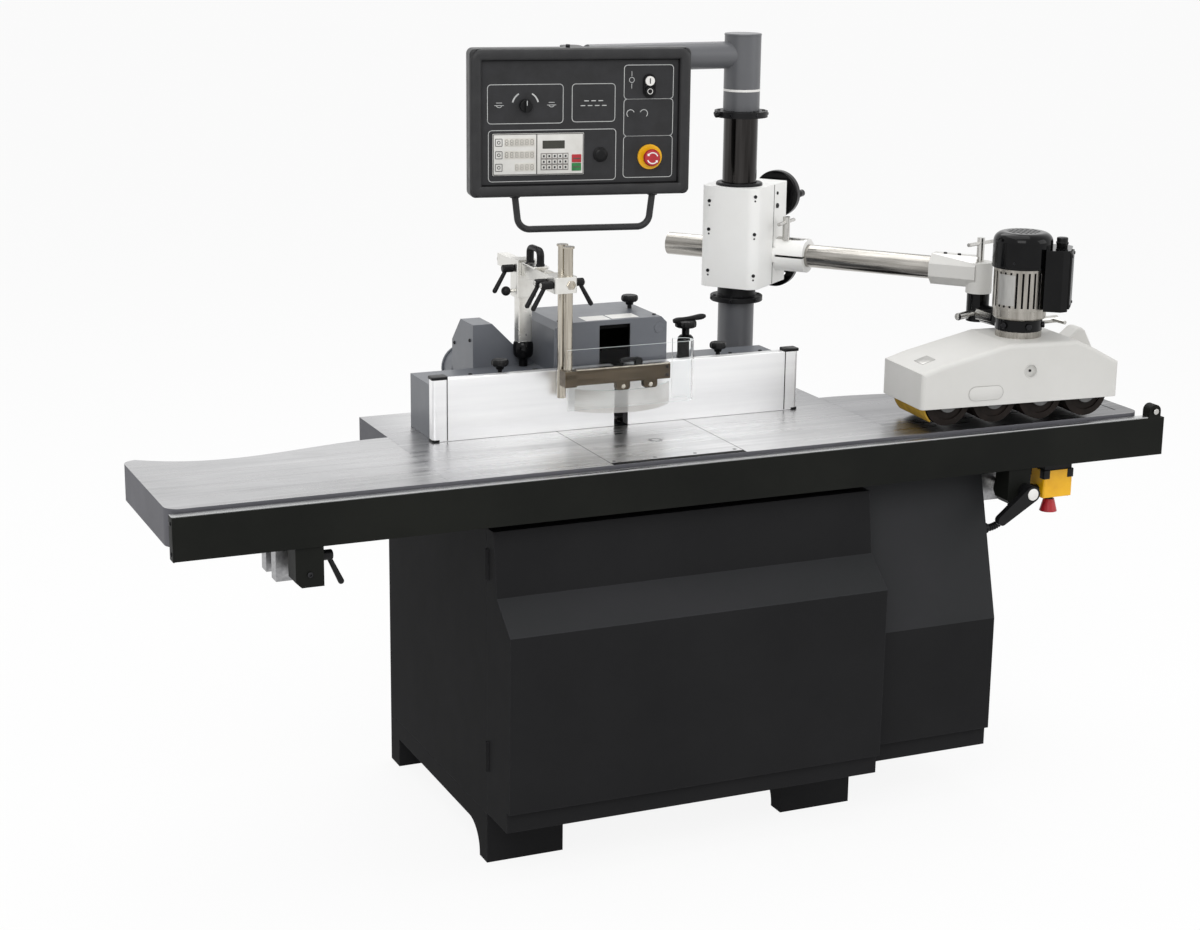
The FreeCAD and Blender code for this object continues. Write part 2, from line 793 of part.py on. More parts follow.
def table_insert():
    low = TABLE_TOP - INSERT_THICK
    plate = block(-INSERT_HALF, INSERT_HALF, INSERT_FRONT, INSERT_REAR, low, TABLE_TOP)
    plate = plate.cut(upright(INSERT_HOLE_R, 0, 0, low - OVERRUN, TABLE_TOP + OVERRUN))
    groove = tube(PLUG_R, PLUG_R - PLUG_GROOVE, V(PLUG_X, PLUG_Y, TABLE_TOP - PLUG_GROOVE),
                  V(PLUG_X, PLUG_Y, TABLE_TOP))
    plate = plate.cut(groove)
    span = INSERT_HALF - INSERT_SCREW_EDGE
    for x in (-span, -span / 3, span / 3, span):
        plate = plate.cut(upright(INSERT_SCREW_R, x, INSERT_FRONT + INSERT_SCREW_EDGE,
                                  TABLE_TOP - PLUG_GROOVE, TABLE_TOP + OVERRUN))
    write("table_insert", plate)


def front_rail():
    rail = block(RAIL_LEFT, RAIL_RIGHT, RAIL_FRONT, RAIL_REAR, RAIL_LOW, RAIL_HIGH)
    w = RAIL_WALL
    ear = rod(EAR_R, V(EAR_X, RAIL_FRONT, EAR_Z), V(EAR_X, RAIL_REAR, EAR_Z))
    ear = ear.fuse(block(EAR_X - EAR_R, EAR_X + EAR_R, RAIL_FRONT, RAIL_REAR, RAIL_HIGH, EAR_Z)).cut(rail)
    screw = rod(EAR_SCREW_R, V(EAR_X, RAIL_FRONT - EAR_SCREW_HIGH, EAR_Z), V(EAR_X, RAIL_FRONT + w, EAR_Z))
    rail = rail.cut(block(RAIL_LEFT + w, RAIL_RIGHT - w, RAIL_FRONT + w, RAIL_REAR - w, RAIL_LOW + w,
                          RAIL_HIGH - w))
    half = BRACKET_WIDE / 2
    c = BRACKET_CHAMFER
    carriers = []
    for x in (GUIDE_LEFT_X, GUIDE_RIGHT_X):
        outline = [(x - half, RAIL_LOW), (x + half, RAIL_LOW), (x + half, BRACKET_LOW),
                   (x - half + c, BRACKET_LOW),
                   (x - half, BRACKET_LOW + c)]
        bumper = rod(BUMPER_R, V(x, BRACKET_BACK, GUIDE_Z), V(x, BRACKET_BACK + BUMPER_LONG, GUIDE_Z))
        seat_hole = rod(GUIDE_R, V(x, BRACKET_BACK - half, GUIDE_Z),
                        V(x, BRACKET_BACK + BUMPER_LONG + OVERRUN, GUIDE_Z))
        carriers.append(prism_y(outline, BRACKET_FRONT, BRACKET_BACK).fuse(bumper).cut(seat_hole))
        carriers.append(rod(GUIDE_R, V(x, BRACKET_BACK - half, GUIDE_Z), V(x, GUIDE_BACK, GUIDE_Z)))
    strip = block(RAIL_LEFT, EAR_X - EAR_R, RAIL_FRONT + STRIP_INSET, RAIL_REAR - STRIP_INSET, RAIL_HIGH,
                  RAIL_HIGH + STRIP_HIGH)
    write("rail_strip", strip)
    write("front_rail", rail, fused(ear, screw), *carriers)


def rail_blocks():
    blocks = []
    half = BLOCK_WIDE / 2
    for x in (GUIDE_LEFT_X, GUIDE_RIGHT_X):
        for y in (BLOCK_FRONT_Y, BLOCK_REAR_Y):
            body = block(x - half, x + half, y, y + BLOCK_DEEP, BLOCK_LOW, TABLE_LOW)
            body = body.cut(rod(GUIDE_R + FIT, V(x, y - OVERRUN, GUIDE_Z),
                                V(x, y + BLOCK_DEEP + OVERRUN, GUIDE_Z)))
            blocks.append(body)
    write("rail_blocks", *blocks)


def small_lever(origin, outward, hub_r, hub_long, arm_r, tip_r, reach, lean):
    hub = rod(hub_r, origin, origin + outward * hub_long)
    hub = rounded(hub, hub_r / 3, lambda e: True)
    root = origin + outward * (hub_long * LEVER_ROOT_SHARE)
    drop = V(0, 0, -1) * math.cos(math.radians(lean)) + outward * math.sin(math.radians(lean))
    arm = Part.makeCone(arm_r, tip_r, reach, root, drop)
    tip = Part.makeSphere(tip_r, root + drop * reach)
    return fused(hub, arm, tip)


def rail_levers():
    left = V(GUIDE_LEFT_X + BRACKET_WIDE / 2 + SEAT, LEVER_LEFT_Y, LEVER_LEFT_Z)
    write("rail_lever_left", small_lever(left, X_AXIS, LEVER_HUB_R, LEVER_HUB_LONG, LEVER_ARM_R,
                                         LEVER_TIP_R,
                                         LEVER_REACH, LEVER_LEAN_DEG))
    back = BRACKET_FRONT - SEAT
    front = back - BIG_HUB_LONG
    hub = rod(BIG_HUB_R, V(BIG_LEVER_X, back, BIG_LEVER_Z), V(BIG_LEVER_X, front, BIG_LEVER_Z))
    cap = rod(BIG_CAP_R, V(BIG_LEVER_X, front, BIG_LEVER_Z),
              V(BIG_LEVER_X, front - BIG_CAP_HIGH, BIG_LEVER_Z))
    turn = math.radians(BIG_LEVER_DEG)
    reach = V(math.cos(turn), 0, math.sin(turn)) * BIG_LEVER_REACH
    blade = rod(BIG_LEVER_WIDE / 2, V(BIG_LEVER_X + reach.x, front, BIG_LEVER_Z + reach.z),
                V(BIG_LEVER_X + reach.x, front + BIG_LEVER_THICK, BIG_LEVER_Z + reach.z))
    side = V(-math.sin(turn), 0, math.cos(turn))
    near = V(BIG_LEVER_X, front, BIG_LEVER_Z)
    far = near + reach
    web = prism([near + side * BIG_HUB_R, far + side * (BIG_LEVER_WIDE / 2),
                 far - side * (BIG_LEVER_WIDE / 2),
                 near - side * BIG_HUB_R], V(0, BIG_LEVER_THICK, 0))
    write("rail_lever_right", fused(hub, cap, blade, web))


def stop_box():
    half = STOPBOX_WIDE / 2
    deep = STOPBOX_DEEP / 2
    lower = block(STOPBOX_X - half, STOPBOX_X + half, STOPBOX_Y - deep, STOPBOX_Y + deep, STOPBOX_LOW,
                  STOPBOX_SPLIT)
    lower = rounded(lower, STOPBOX_ROUND, lambda e: is_along(e, Z_AXIS))
    hole = upright(LOW_STEM_R + BUTTON_HOLE, STOPBOX_X, STOPBOX_Y, STOPBOX_LOW - OVERRUN,
                   STOPBOX_LOW + LOW_STEM_LONG * 2)
    lip = STOPBOX_LIP
    upper = block(STOPBOX_X - half + lip, STOPBOX_X + half - lip, STOPBOX_Y - deep + lip,
                  STOPBOX_Y + deep - lip,
                  STOPBOX_SPLIT, TABLE_LOW)
    start = V(*CONDUIT_ROUTE[0])
    gland = rod(GLAND_R, start + X_AXIS * SEAT, V(STOPBOX_X - half, start.y, start.z))
    write("stop_box", lower.cut(hole), upper, gland)
    stem = upright(LOW_STEM_R, STOPBOX_X, STOPBOX_Y, STOPBOX_LOW - LOW_STEM_LONG,
                   STOPBOX_LOW + LOW_STEM_LONG)
    cone = Part.makeCone(LOW_BUTTON_R, LOW_BUTTON_TOP_R, LOW_BUTTON_HIGH,
                         V(STOPBOX_X, STOPBOX_Y, STOPBOX_LOW - LOW_STEM_LONG - LOW_BUTTON_HIGH), Z_AXIS)
    write("stop_box_button", fused(stem, cone))


def stop_conduit():
    path = bent_path([V(*p) for p in CONDUIT_ROUTE], CONDUIT_BEND)
    step = path.Length / CONDUIT_RIBS
    rings = []
    for rib in range(CONDUIT_RIBS):
        for share in CONDUIT_ROOT_SHARES:
            rings.append(path_ring(path, (rib + share) * step, CONDUIT_ROOT_R))
        for share in CONDUIT_CREST_SHARES:
            rings.append(path_ring(path, (rib + share) * step, CONDUIT_R))
    rings.append(path_ring(path, path.Length, CONDUIT_ROOT_R))
    ribs = Part.makeLoft(rings, True, True)
    bore = Part.makeLoft([path_ring(path, i * step, CONDUIT_BORE_R) for i in range(CONDUIT_RIBS + 1)], True,
                         True)
    write("stop_conduit", ribs.cut(bore))


def path_ring(path, distance, radius):
    for edge in path.OrderedEdges:
        if distance <= edge.Length + FIT:
            break
        distance -= edge.Length
    at = edge.getParameterByLength(min(distance, edge.Length))
    circle = Part.Circle(edge.valueAt(at), edge.tangentAt(at), radius)
    circle.XAxis = Y_AXIS
    return Part.Wire(circle.toShape())


def lift_unit():
    ways = block(-WAYS_HALF, WAYS_HALF, WAYS_FRONT, WAYS_FRONT + WAYS_THICK, WAYS_LOW, TABLE_LOW)
    half = WAY_WIDE / 2
    for x in (-WAY_X, WAY_X):
        ways = ways.fuse(block(x - half, x + half, WAYS_FRONT - WAY_DEEP, WAYS_FRONT, WAYS_LOW, TABLE_LOW))
    ledge = block(SCREW_X - WAY_WIDE, SCREW_X + WAY_WIDE, SCREW_Y - WAY_WIDE, WAYS_FRONT, WAYS_LOW,
                  SCREW_LOW)
    write("lift_ways", fused(ways, ledge))
    screw = upright(SCREW_R, SCREW_X, SCREW_Y, SCREW_LOW, HOUSING_HIGH)
    thrust = upright(SCREW_R + SCREW_R / 2, SCREW_X, SCREW_Y, SCREW_LOW, SCREW_LOW + SCREW_BRACKET)
    write("lift_screw", fused(screw, thrust))
    back = WAYS_FRONT - SEAT
    front = back - WAY_DEEP - CARRIAGE_THICK
    carriage = block(-WAYS_HALF, WAYS_HALF, front, back, CARRIAGE_LOW, CARRIAGE_HIGH)
    for x in (-WAY_X, WAY_X):
        slot = block(x - half - FIT, x + half + FIT, back - WAY_DEEP - FIT, back + OVERRUN,
                     CARRIAGE_LOW - OVERRUN, CARRIAGE_HIGH + OVERRUN)
        carriage = carriage.cut(slot)
    neck = block(-HOUSING_R, HOUSING_R, 0, front + CARRIAGE_THICK / 2, HOUSING_LOW, CARRIAGE_HIGH)
    body = upright(HOUSING_R, 0, 0, HOUSING_LOW, HOUSING_HIGH)
    plate_top = CARRIAGE_LOW + MOTOR_PLATE
    plate = block(0, MOTOR_X + MOTOR_R, -MOTOR_R, back - WAY_DEEP - CARRIAGE_THICK / 2, CARRIAGE_LOW,
                  plate_top)
    carriage = fused(carriage, neck, body, plate)
    carriage = carriage.cut(upright(BEARING_R, 0, 0, CARRIAGE_LOW - OVERRUN, HOUSING_HIGH + OVERRUN))
    carriage = carriage.cut(upright(SCREW_R + FIT, SCREW_X, SCREW_Y, CARRIAGE_LOW - OVERRUN,
                                    CARRIAGE_HIGH + OVERRUN))
    carriage = carriage.cut(upright(MOTOR_SHAFT_R + MOTOR_GAP, MOTOR_X, MOTOR_Y, CARRIAGE_LOW - OVERRUN,
                                    plate_top + OVERRUN))
    rings = []
    for low in (HOUSING_LOW + BEARING_SET, HOUSING_HIGH - BEARING_SET - BEARING_HIGH):
        rings.append(tube(BEARING_R, SHAFT_R + FIT, V(0, 0, low), V(0, 0, low + BEARING_HIGH)))
    write("spindle_housing", carriage, *rings)
    arbor_low = SHAFT_TOP - THREAD_LONG - ARBOR_LONG
    shaft = upright(SHAFT_R, 0, 0, PULLEY_LOW, arbor_low - COLLAR_HIGH)
    collar = upright(COLLAR_R, 0, 0, arbor_low - COLLAR_HIGH, arbor_low)
    arbor = upright(ARBOR_R, 0, 0, arbor_low, SHAFT_TOP - THREAD_LONG)
    thread = upright(THREAD_R, 0, 0, SHAFT_TOP - THREAD_LONG, SHAFT_TOP)
    shaft = fused(shaft, collar, arbor, thread)
    write("spindle_shaft", shaft, pulley(0, 0, PULLEY_R, SHAFT_R))
    write("motor_pulley", pulley(MOTOR_X, MOTOR_Y, MOTOR_PULLEY_R, 0))
    motor = upright(MOTOR_R, MOTOR_X, MOTOR_Y, MOTOR_LOW, MOTOR_HIGH)
    for i in range(MOTOR_FINS):
        turn = 360.0 * i / MOTOR_FINS
        slot = block(MOTOR_R - MOTOR_FIN_DEEP, MOTOR_R + OVERRUN, -MOTOR_FIN_WIDE / 2, MOTOR_FIN_WIDE / 2,
                     MOTOR_LOW + MOTOR_PLATE, MOTOR_HIGH - MOTOR_PLATE)
        motor = motor.cut(placed(slot, V(MOTOR_X, MOTOR_Y, 0), turn))
    foot = upright(MOTOR_R, MOTOR_X, MOTOR_Y, plate_top, MOTOR_LOW)
    hole = upright(MOTOR_SHAFT_R + MOTOR_GAP, MOTOR_X, MOTOR_Y, plate_top - OVERRUN, MOTOR_LOW)
    socket = upright(MOTOR_SHAFT_R + FIT, MOTOR_X, MOTOR_Y, MOTOR_LOW - OVERRUN, MOTOR_LOW + MOTOR_R)
    write("drive_motor", fused(motor, foot).cut(hole).cut(socket))
    belt()


def pulley(x, y, radius, bore):
    top = PULLEY_LOW + PULLEY_HIGH
    wheel = upright(radius, x, y, PULLEY_LOW, top)
    groove = tube(radius + OVERRUN, radius - PULLEY_GROOVE, V(x, y, PULLEY_LOW + PULLEY_RIM),
                  V(x, y, top - PULLEY_RIM))
    wheel = wheel.cut(groove)
    if bore > 0:
        return wheel.cut(upright(bore, x, y, PULLEY_LOW - OVERRUN, top + OVERRUN))
    return fused(wheel, upright(MOTOR_SHAFT_R, x, y, top, MOTOR_LOW + MOTOR_R - MOTOR_GAP))


def belt_loop(grow, low, high):
    small = PULLEY_R - PULLEY_GROOVE + grow
    large = MOTOR_PULLEY_R - PULLEY_GROOVE + grow
    tilt = math.asin((large - small) / MOTOR_X)
    lean = V(-math.sin(tilt), math.cos(tilt), 0)
    mirror = V(-math.sin(tilt), -math.cos(tilt), 0)
    near = V(0, 0, low)
    far = V(MOTOR_X, MOTOR_Y, low)
    edges = [Part.makeLine(near + lean * small, far + lean * large),
             Part.Arc(far + lean * large, far + V(large, 0, 0), far + mirror * large).toShape(),
             Part.makeLine(far + mirror * large, near + mirror * small),
             Part.Arc(near + mirror * small, near - V(small, 0, 0), near + lean * small).toShape()]
    return Part.Face(Part.Wire(edges)).extrude(V(0, 0, high - low))


def belt():
    low = PULLEY_LOW + PULLEY_RIM + SEAT
    high = PULLEY_LOW + PULLEY_HIGH - PULLEY_RIM - SEAT
    outer = belt_loop(SEAT + BELT_THICK, low, high)
    write("drive_belt", outer.cut(belt_loop(SEAT, low - OVERRUN, high + OVERRUN)))


def hood_body():
    low = TABLE_SEAT
    w = HOOD_WALL
    outline = [(HOOD_LEFT, low), (HOOD_RIGHT, low), (HOOD_RIGHT, HOOD_TOP - HOOD_BEVEL),
               (HOOD_RIGHT - HOOD_BEVEL, HOOD_TOP),
               (HOOD_LEFT + HOOD_BEVEL, HOOD_TOP), (HOOD_LEFT, HOOD_TOP - HOOD_BEVEL)]
    hood = prism_y(outline, HOOD_FRONT, HOOD_REAR)
    deck = block(DECK_LEFT, DECK_RIGHT, DECK_FRONT, DECK_REAR, low, DECK_TOP).cut(hood)
    inner = block(HOOD_LEFT + w, HOOD_RIGHT - w, HOOD_FRONT + w, HOOD_REAR - w, low - OVERRUN,
                  HOOD_TOP - w - HOOD_BEVEL)
    inner_deck = block(DECK_LEFT + w, DECK_RIGHT - w, DECK_FRONT + w, DECK_REAR - w, low - OVERRUN,
                       DECK_TOP - w)
    window = block(WINDOW_LEFT, WINDOW_RIGHT, DECK_FRONT - OVERRUN, HOOD_FRONT + w + OVERRUN, low - OVERRUN,
                   WINDOW_TOP)
    half = DECK_SLOT_WIDE / 2
    slot = block(-DECK_SLOT_X - half, -DECK_SLOT_X + half, DECK_FRONT + w, DECK_FRONT + w + DECK_SLOT_LONG,
                 DECK_TOP - w - OVERRUN, DECK_TOP + OVERRUN)
    deck = deck.cut(inner_deck).cut(window).cut(slot)
    duct_y = (CHUTE_FRONT + CHUTE_REAR) / 2
    duct = rod(SPIGOT_R, V(CHUTE_LEFT, duct_y, SPIGOT_Z), V(HOOD_LEFT + w + OVERRUN, duct_y, SPIGOT_Z))
    hood = hood.cut(inner).cut(inner_deck).cut(window).cut(duct)
    caps = []
    for x in (HOOD_LEFT + CAP_R + w, HOOD_RIGHT - CAP_R - w):
        caps.append(rod(CAP_R, V(x, HOOD_FRONT - CAP_HIGH, HOOD_TOP - w - CAP_R - CAP_R / 2),
                        V(x, HOOD_FRONT + w, HOOD_TOP - w - CAP_R - CAP_R / 2)))
    write("hood_body", fused(hood, *caps), *deck.Solids)


def dust_chute():
    low = TABLE_SEAT
    w = CHUTE_WALL
    side = [(DECK_REAR + SEAT, low), (DECK_REAR + SEAT, CHUTE_TOP), (CHUTE_MID, CHUTE_TOP),
            (CHUTE_REAR, CHUTE_DROP), (CHUTE_REAR, low)]
    body = prism_x(side, CHUTE_LEFT, HOOD_LEFT - SEAT)
    corner = [(CHUTE_RIGHT - CHUTE_SHOULDER, CHUTE_TOP), (CHUTE_RIGHT, CHUTE_TOP - CHUTE_SHOULDER),
              (HOOD_LEFT - SEAT + OVERRUN, DECK_TOP),
              (HOOD_LEFT - SEAT + OVERRUN, CHUTE_TOP + OVERRUN),
              (CHUTE_RIGHT - CHUTE_SHOULDER, CHUTE_TOP + OVERRUN)]
    body = body.cut(prism_y(corner, DECK_REAR - OVERRUN, CHUTE_REAR + OVERRUN))
    inner = block(CHUTE_LEFT + w, HOOD_LEFT + OVERRUN, DECK_REAR + SEAT + w, CHUTE_REAR - w, low + w,
                  DECK_TOP - w)
    body = body.cut(inner)
    x = (CHUTE_LEFT + CHUTE_RIGHT) / 2
    port = rod(SPIGOT_R - SPIGOT_WALL, V(x, CHUTE_REAR - w - OVERRUN, SPIGOT_Z),
               V(x, CHUTE_REAR + SPIGOT_LONG + OVERRUN, SPIGOT_Z))
    spigot = rod(SPIGOT_R, V(x, CHUTE_REAR, SPIGOT_Z), V(x, CHUTE_REAR + SPIGOT_LONG, SPIGOT_Z))
    write("dust_chute", fused(body, spigot).cut(port))


def fence_plates():
    low = TABLE_TOP + FENCE_LIFT
    for name, side in (("fence_plate_left", -1), ("fence_plate_right", 1)):
        near = side * FENCE_INNER
        far = side * FENCE_OUTER
        end = side * FENCE_END
        plate = block(min(near, far), max(near, far), FENCE_FACE, FENCE_BACK, low, FENCE_TOP)
        post = block(min(far, end), max(far, end), FENCE_FACE, FENCE_BACK, low, FENCE_TOP + ENDCAP_HIGH)
        post = rounded(post, FENCE_ROUND,
                       lambda e: is_along(e, Z_AXIS) and abs(e.BoundBox.XMin) > FENCE_OUTER + FENCE_ROUND)
        body = fused(plate, post)
        for z in (TABLE_TOP + FENCE_GROOVE_SET, FENCE_TOP - FENCE_GROOVE_SET):
            slot = block(min(near, far) - OVERRUN, max(near, far) + OVERRUN, FENCE_BACK - FENCE_GROOVE_DEEP,
                         FENCE_BACK + OVERRUN,
                         z - FENCE_GROOVE_WIDE / 2, z + FENCE_GROOVE_WIDE / 2)
            body = body.cut(slot)
        write(name, body)


def clamp_knob(x, y, z):
    stem = upright(KNOB_STEM_R, x, y, z, z + KNOB_STEM_LONG)
    neck = upright(KNOB_NECK_R, x, y, z + KNOB_STEM_LONG / 2, z + KNOB_STEM_LONG)
    head = upright(KNOB_R, x, y, z + KNOB_STEM_LONG, z + KNOB_STEM_LONG + KNOB_HIGH)
    head = rounded(head, KNOB_HIGH / 4, lambda e: True)
    return fused(stem, neck, head)


def fence_knobs():
    knobs = [clamp_knob(-KNOB_X, KNOB_Y, DECK_TOP), clamp_knob(KNOB_X, KNOB_Y, DECK_TOP),
             clamp_knob(HOOD_KNOB_X, HOOD_KNOB_Y, HOOD_TOP)]
    barrel = upright(ADJUST_R, ADJUST_X, ADJUST_Y, DECK_TOP, DECK_TOP + ADJUST_HIGH)
    barrel = rounded(barrel, ADJUST_R / 4, lambda e: e.BoundBox.ZMin > DECK_TOP)
    wheel_low = DECK_TOP + ADJUST_HIGH + KNOB_STEM_LONG
    stem = upright(KNOB_NECK_R, ADJUST_X, ADJUST_Y, DECK_TOP + ADJUST_HIGH, wheel_low)
    wheel = upright(ADJUST_WHEEL_R, ADJUST_X, ADJUST_Y, wheel_low + SEAT, wheel_low + ADJUST_WHEEL_HIGH)
    wheel = rounded(wheel, ADJUST_WHEEL_HIGH / 5, lambda e: True)
    lever_z = wheel_low + ADJUST_WHEEL_HIGH
    lever = rod(ADJUST_LEVER_R, V(ADJUST_X - ADJUST_WHEEL_R, ADJUST_Y, lever_z),
                V(ADJUST_X + ADJUST_LEVER_LONG - ADJUST_WHEEL_R, ADJUST_Y, lever_z + ADJUST_LEVER_R))
    write("clamp_knobs", *knobs, fused(barrel, stem), fused(wheel, lever))


def guard_post():
    half = POST_WIDE / 2
    deep = POST_DEEP / 2
    post = block(POST_X - half, POST_X + half, POST_Y - deep, POST_Y + deep, DECK_TOP, POST_TOP)
    post = rounded(post, deep / 4, lambda e: is_along(e, Z_AXIS))
    boss = upright(POST_BOSS_R, POST_X, POST_Y - deep, DECK_TOP, DECK_TOP + POST_BOSS_HIGH)
    write("guard_post", fused(post, boss))


def guard_head():
    half = POST_WIDE / 2 + HEAD_WALL
    deep = HEAD_DEEP / 2
    top = BEAM_HIGH + HEAD_WALL
    head = block(POST_X - half, POST_X + half, POST_Y - deep, POST_Y + deep, HEAD_LOW, top)
    head = rounded(head, HEAD_WALL / 2, lambda e: is_along(e, Z_AXIS))
    post_hole = block(POST_X - POST_WIDE / 2 - SEAT, POST_X + POST_WIDE / 2 + SEAT,
                      POST_Y - POST_DEEP / 2 - SEAT,
                      POST_Y + POST_DEEP / 2 + SEAT, HEAD_LOW - OVERRUN, POST_TOP + HEAD_GAP)
    beam_hole = block(POST_X - BEAM_WIDE / 2 - SEAT, POST_X + BEAM_WIDE / 2 + SEAT, POST_Y - deep - OVERRUN,
                      POST_Y + deep + OVERRUN, BEAM_LOW - SEAT, BEAM_HIGH + SEAT)
    head = head.cut(post_hole).cut(beam_hole)
    knob_z = HEAD_LOW + HEAD_WALL * 2
    stem = rod(BALL_STEM_R, V(POST_X - half - BALL_STEM_LONG, POST_Y, knob_z),
               V(POST_X - half, POST_Y, knob_z))
    middle = V(POST_X - half - BALL_STEM_LONG - BALL_R * BALL_SINK_SHARE, POST_Y, knob_z)
    ball = Part.makeSphere(BALL_R, middle, X_AXIS)
    write("guard_head", head, fused(stem, ball))
    lever = V(POST_X - half - SEAT, POST_Y, (BEAM_LOW + BEAM_HIGH) / 2)
    write("head_lever", guard_lever(lever, V(-1, 0, 0)))


def guard_lever(origin, outward):
    return small_lever(origin, outward, GUARD_HUB_R, GUARD_HUB_LONG, GUARD_LEVER_R, GUARD_TIP_R,
                       GUARD_LEVER_REACH, GUARD_LEVER_LEAN)


def guard_beam():
    half = BEAM_WIDE / 2
    beam = block(POST_X - half, POST_X + half, BEAM_FRONT, BEAM_REAR, BEAM_LOW, BEAM_HIGH)
    front = ROD_FRONT_Y - CLAMP_MARGIN
    right = ROD_X + CLAMP_MARGIN
    clamp = block(POST_X - half, right, front, BEAM_FRONT, CLAMP_LOW, CLAMP_HIGH)
    clamp = rounded(clamp, CLAMP_MARGIN / 2,
                    lambda e: is_along(e, Z_AXIS) and e.BoundBox.YMax < BEAM_FRONT - half)
    body = fused(beam, clamp)
    for y in (ROD_REAR_Y, ROD_FRONT_Y):
        body = body.cut(upright(ROD_R + FIT, ROD_X, y, CLAMP_LOW - OVERRUN, CLAMP_HIGH + OVERRUN))
    write("guard_beam", body)
    z = (CLAMP_LOW + CLAMP_HIGH) / 2
    levers = [guard_lever(V(POST_X - half, y, z), V(-1, 0, 0)) for y in (ROD_REAR_Y, ROD_FRONT_Y)]
    levers.append(guard_lever(V(right, (ROD_REAR_Y + ROD_FRONT_Y) / 2, z), X_AXIS))
    write("rod_levers", *levers)
    plate = HANDLE_PLATE_WIDE / 2
    low = BEAM_HIGH + HANDLE_PLATE_THICK
    base = block(POST_X - plate, POST_X + plate, HANDLE_FRONT, HANDLE_REAR, BEAM_HIGH, low)
    grip = block(POST_X - half, POST_X + half, HANDLE_FRONT, HANDLE_REAR, low, low + HANDLE_HIGH)
    grip = rounded(grip, HANDLE_BAR, lambda e: is_along(e, X_AXIS) and e.BoundBox.ZMin > low)
    gap = block(POST_X - half - OVERRUN, POST_X + half + OVERRUN, HANDLE_FRONT + HANDLE_BAR,
                HANDLE_REAR - HANDLE_BAR,
                low - OVERRUN, low + HANDLE_HIGH - HANDLE_BAR)
    write("beam_handle", fused(base, grip.cut(gap)))


def guard_rod(y, low):
    shaft = upright(ROD_R, ROD_X, y, low, ROD_TOP)
    cap = upright(ROD_CAP_R, ROD_X, y, ROD_TOP, ROD_TOP + ROD_CAP_HIGH)
    return fused(shaft, cap)


def guard_front():
    write("rod_left", guard_rod(ROD_REAR_Y, ROD_LEFT_LOW))
    write("rod_right", guard_rod(ROD_FRONT_Y, PRESS_LOW))
    half = PRESS_THICK / 2
    rear = ROD_FRONT_Y + half
    front = ROD_FRONT_Y - half
    margin = ROD_R + PRESS_TAB_THICK
    end = block(ROD_X - margin, ROD_X + margin, CLEAR_FRONT + SHEET + SEAT, ROD_FRONT_Y + margin, PRESS_LOW,
                PRESS_HIGH)
    end = end.cut(upright(ROD_R, ROD_X, ROD_FRONT_Y, PRESS_LOW - OVERRUN, PRESS_HIGH + OVERRUN))
    bar = block(ROD_X + margin, PRESS_RIGHT, front, rear, PRESS_LOW, PRESS_HIGH)
    body = end.fuse(bar)
    tab_low = PRESS_LOW - PRESS_TAB_DROP
    for x in (PRESS_TAB_X, PRESS_TAB_X + PRESS_TAB_PITCH):
        tab = block(x, x + PRESS_TAB_WIDE, front, rear, tab_low, PRESS_LOW)
        body = body.fuse(rounded(tab, half, lambda e: is_along(e, Y_AXIS) and e.BoundBox.ZMax < PRESS_LOW))
    hub = rod(GUARD_HUB_R, V(PRESS_LEVER_X, front, PRESS_HIGH + GUARD_HUB_R),
              V(PRESS_LEVER_X, rear, PRESS_HIGH + GUARD_HUB_R))
    foot = block(PRESS_LEVER_X - half, PRESS_LEVER_X + half, front, rear, PRESS_HIGH,
                 PRESS_HIGH + GUARD_HUB_R)
    write("press_bar", body.removeSplitter(), fused(hub, foot))
    write("clear_guard", clear_sheet(), guard_shoe(tab_low))


def clear_sheet():
    rear = CLEAR_FRONT + CLEAR_BEND * 2
    bend_x = CLEAR_RIGHT - CLEAR_BEND
    mid = CLEAR_FRONT + CLEAR_BEND
    t = SHEET
    stop = bend_x - CLEAR_RETURN
    outer = [V(CLEAR_LEFT, CLEAR_FRONT, CLEAR_LOW), V(bend_x, CLEAR_FRONT, CLEAR_LOW),
             V(CLEAR_RIGHT, mid, CLEAR_LOW),
             V(bend_x, rear, CLEAR_LOW), V(stop, rear, CLEAR_LOW)]
    inner = [V(stop, rear - t, CLEAR_LOW), V(bend_x, rear - t, CLEAR_LOW),
             V(CLEAR_RIGHT - t, mid, CLEAR_LOW),
             V(bend_x, CLEAR_FRONT + t, CLEAR_LOW), V(CLEAR_LEFT, CLEAR_FRONT + t, CLEAR_LOW)]
    edges = [Part.makeLine(outer[0], outer[1]), Part.Arc(outer[1], outer[2], outer[3]).toShape(),
             Part.makeLine(outer[3], outer[4]), Part.makeLine(outer[4], inner[0]),
             Part.makeLine(inner[0], inner[1]),
             Part.Arc(inner[1], inner[2], inner[3]).toShape(), Part.makeLine(inner[3], inner[4]),
             Part.makeLine(inner[4], outer[0])]
    return Part.Face(Part.Wire(edges)).extrude(V(0, 0, CLEAR_HIGH - CLEAR_LOW))


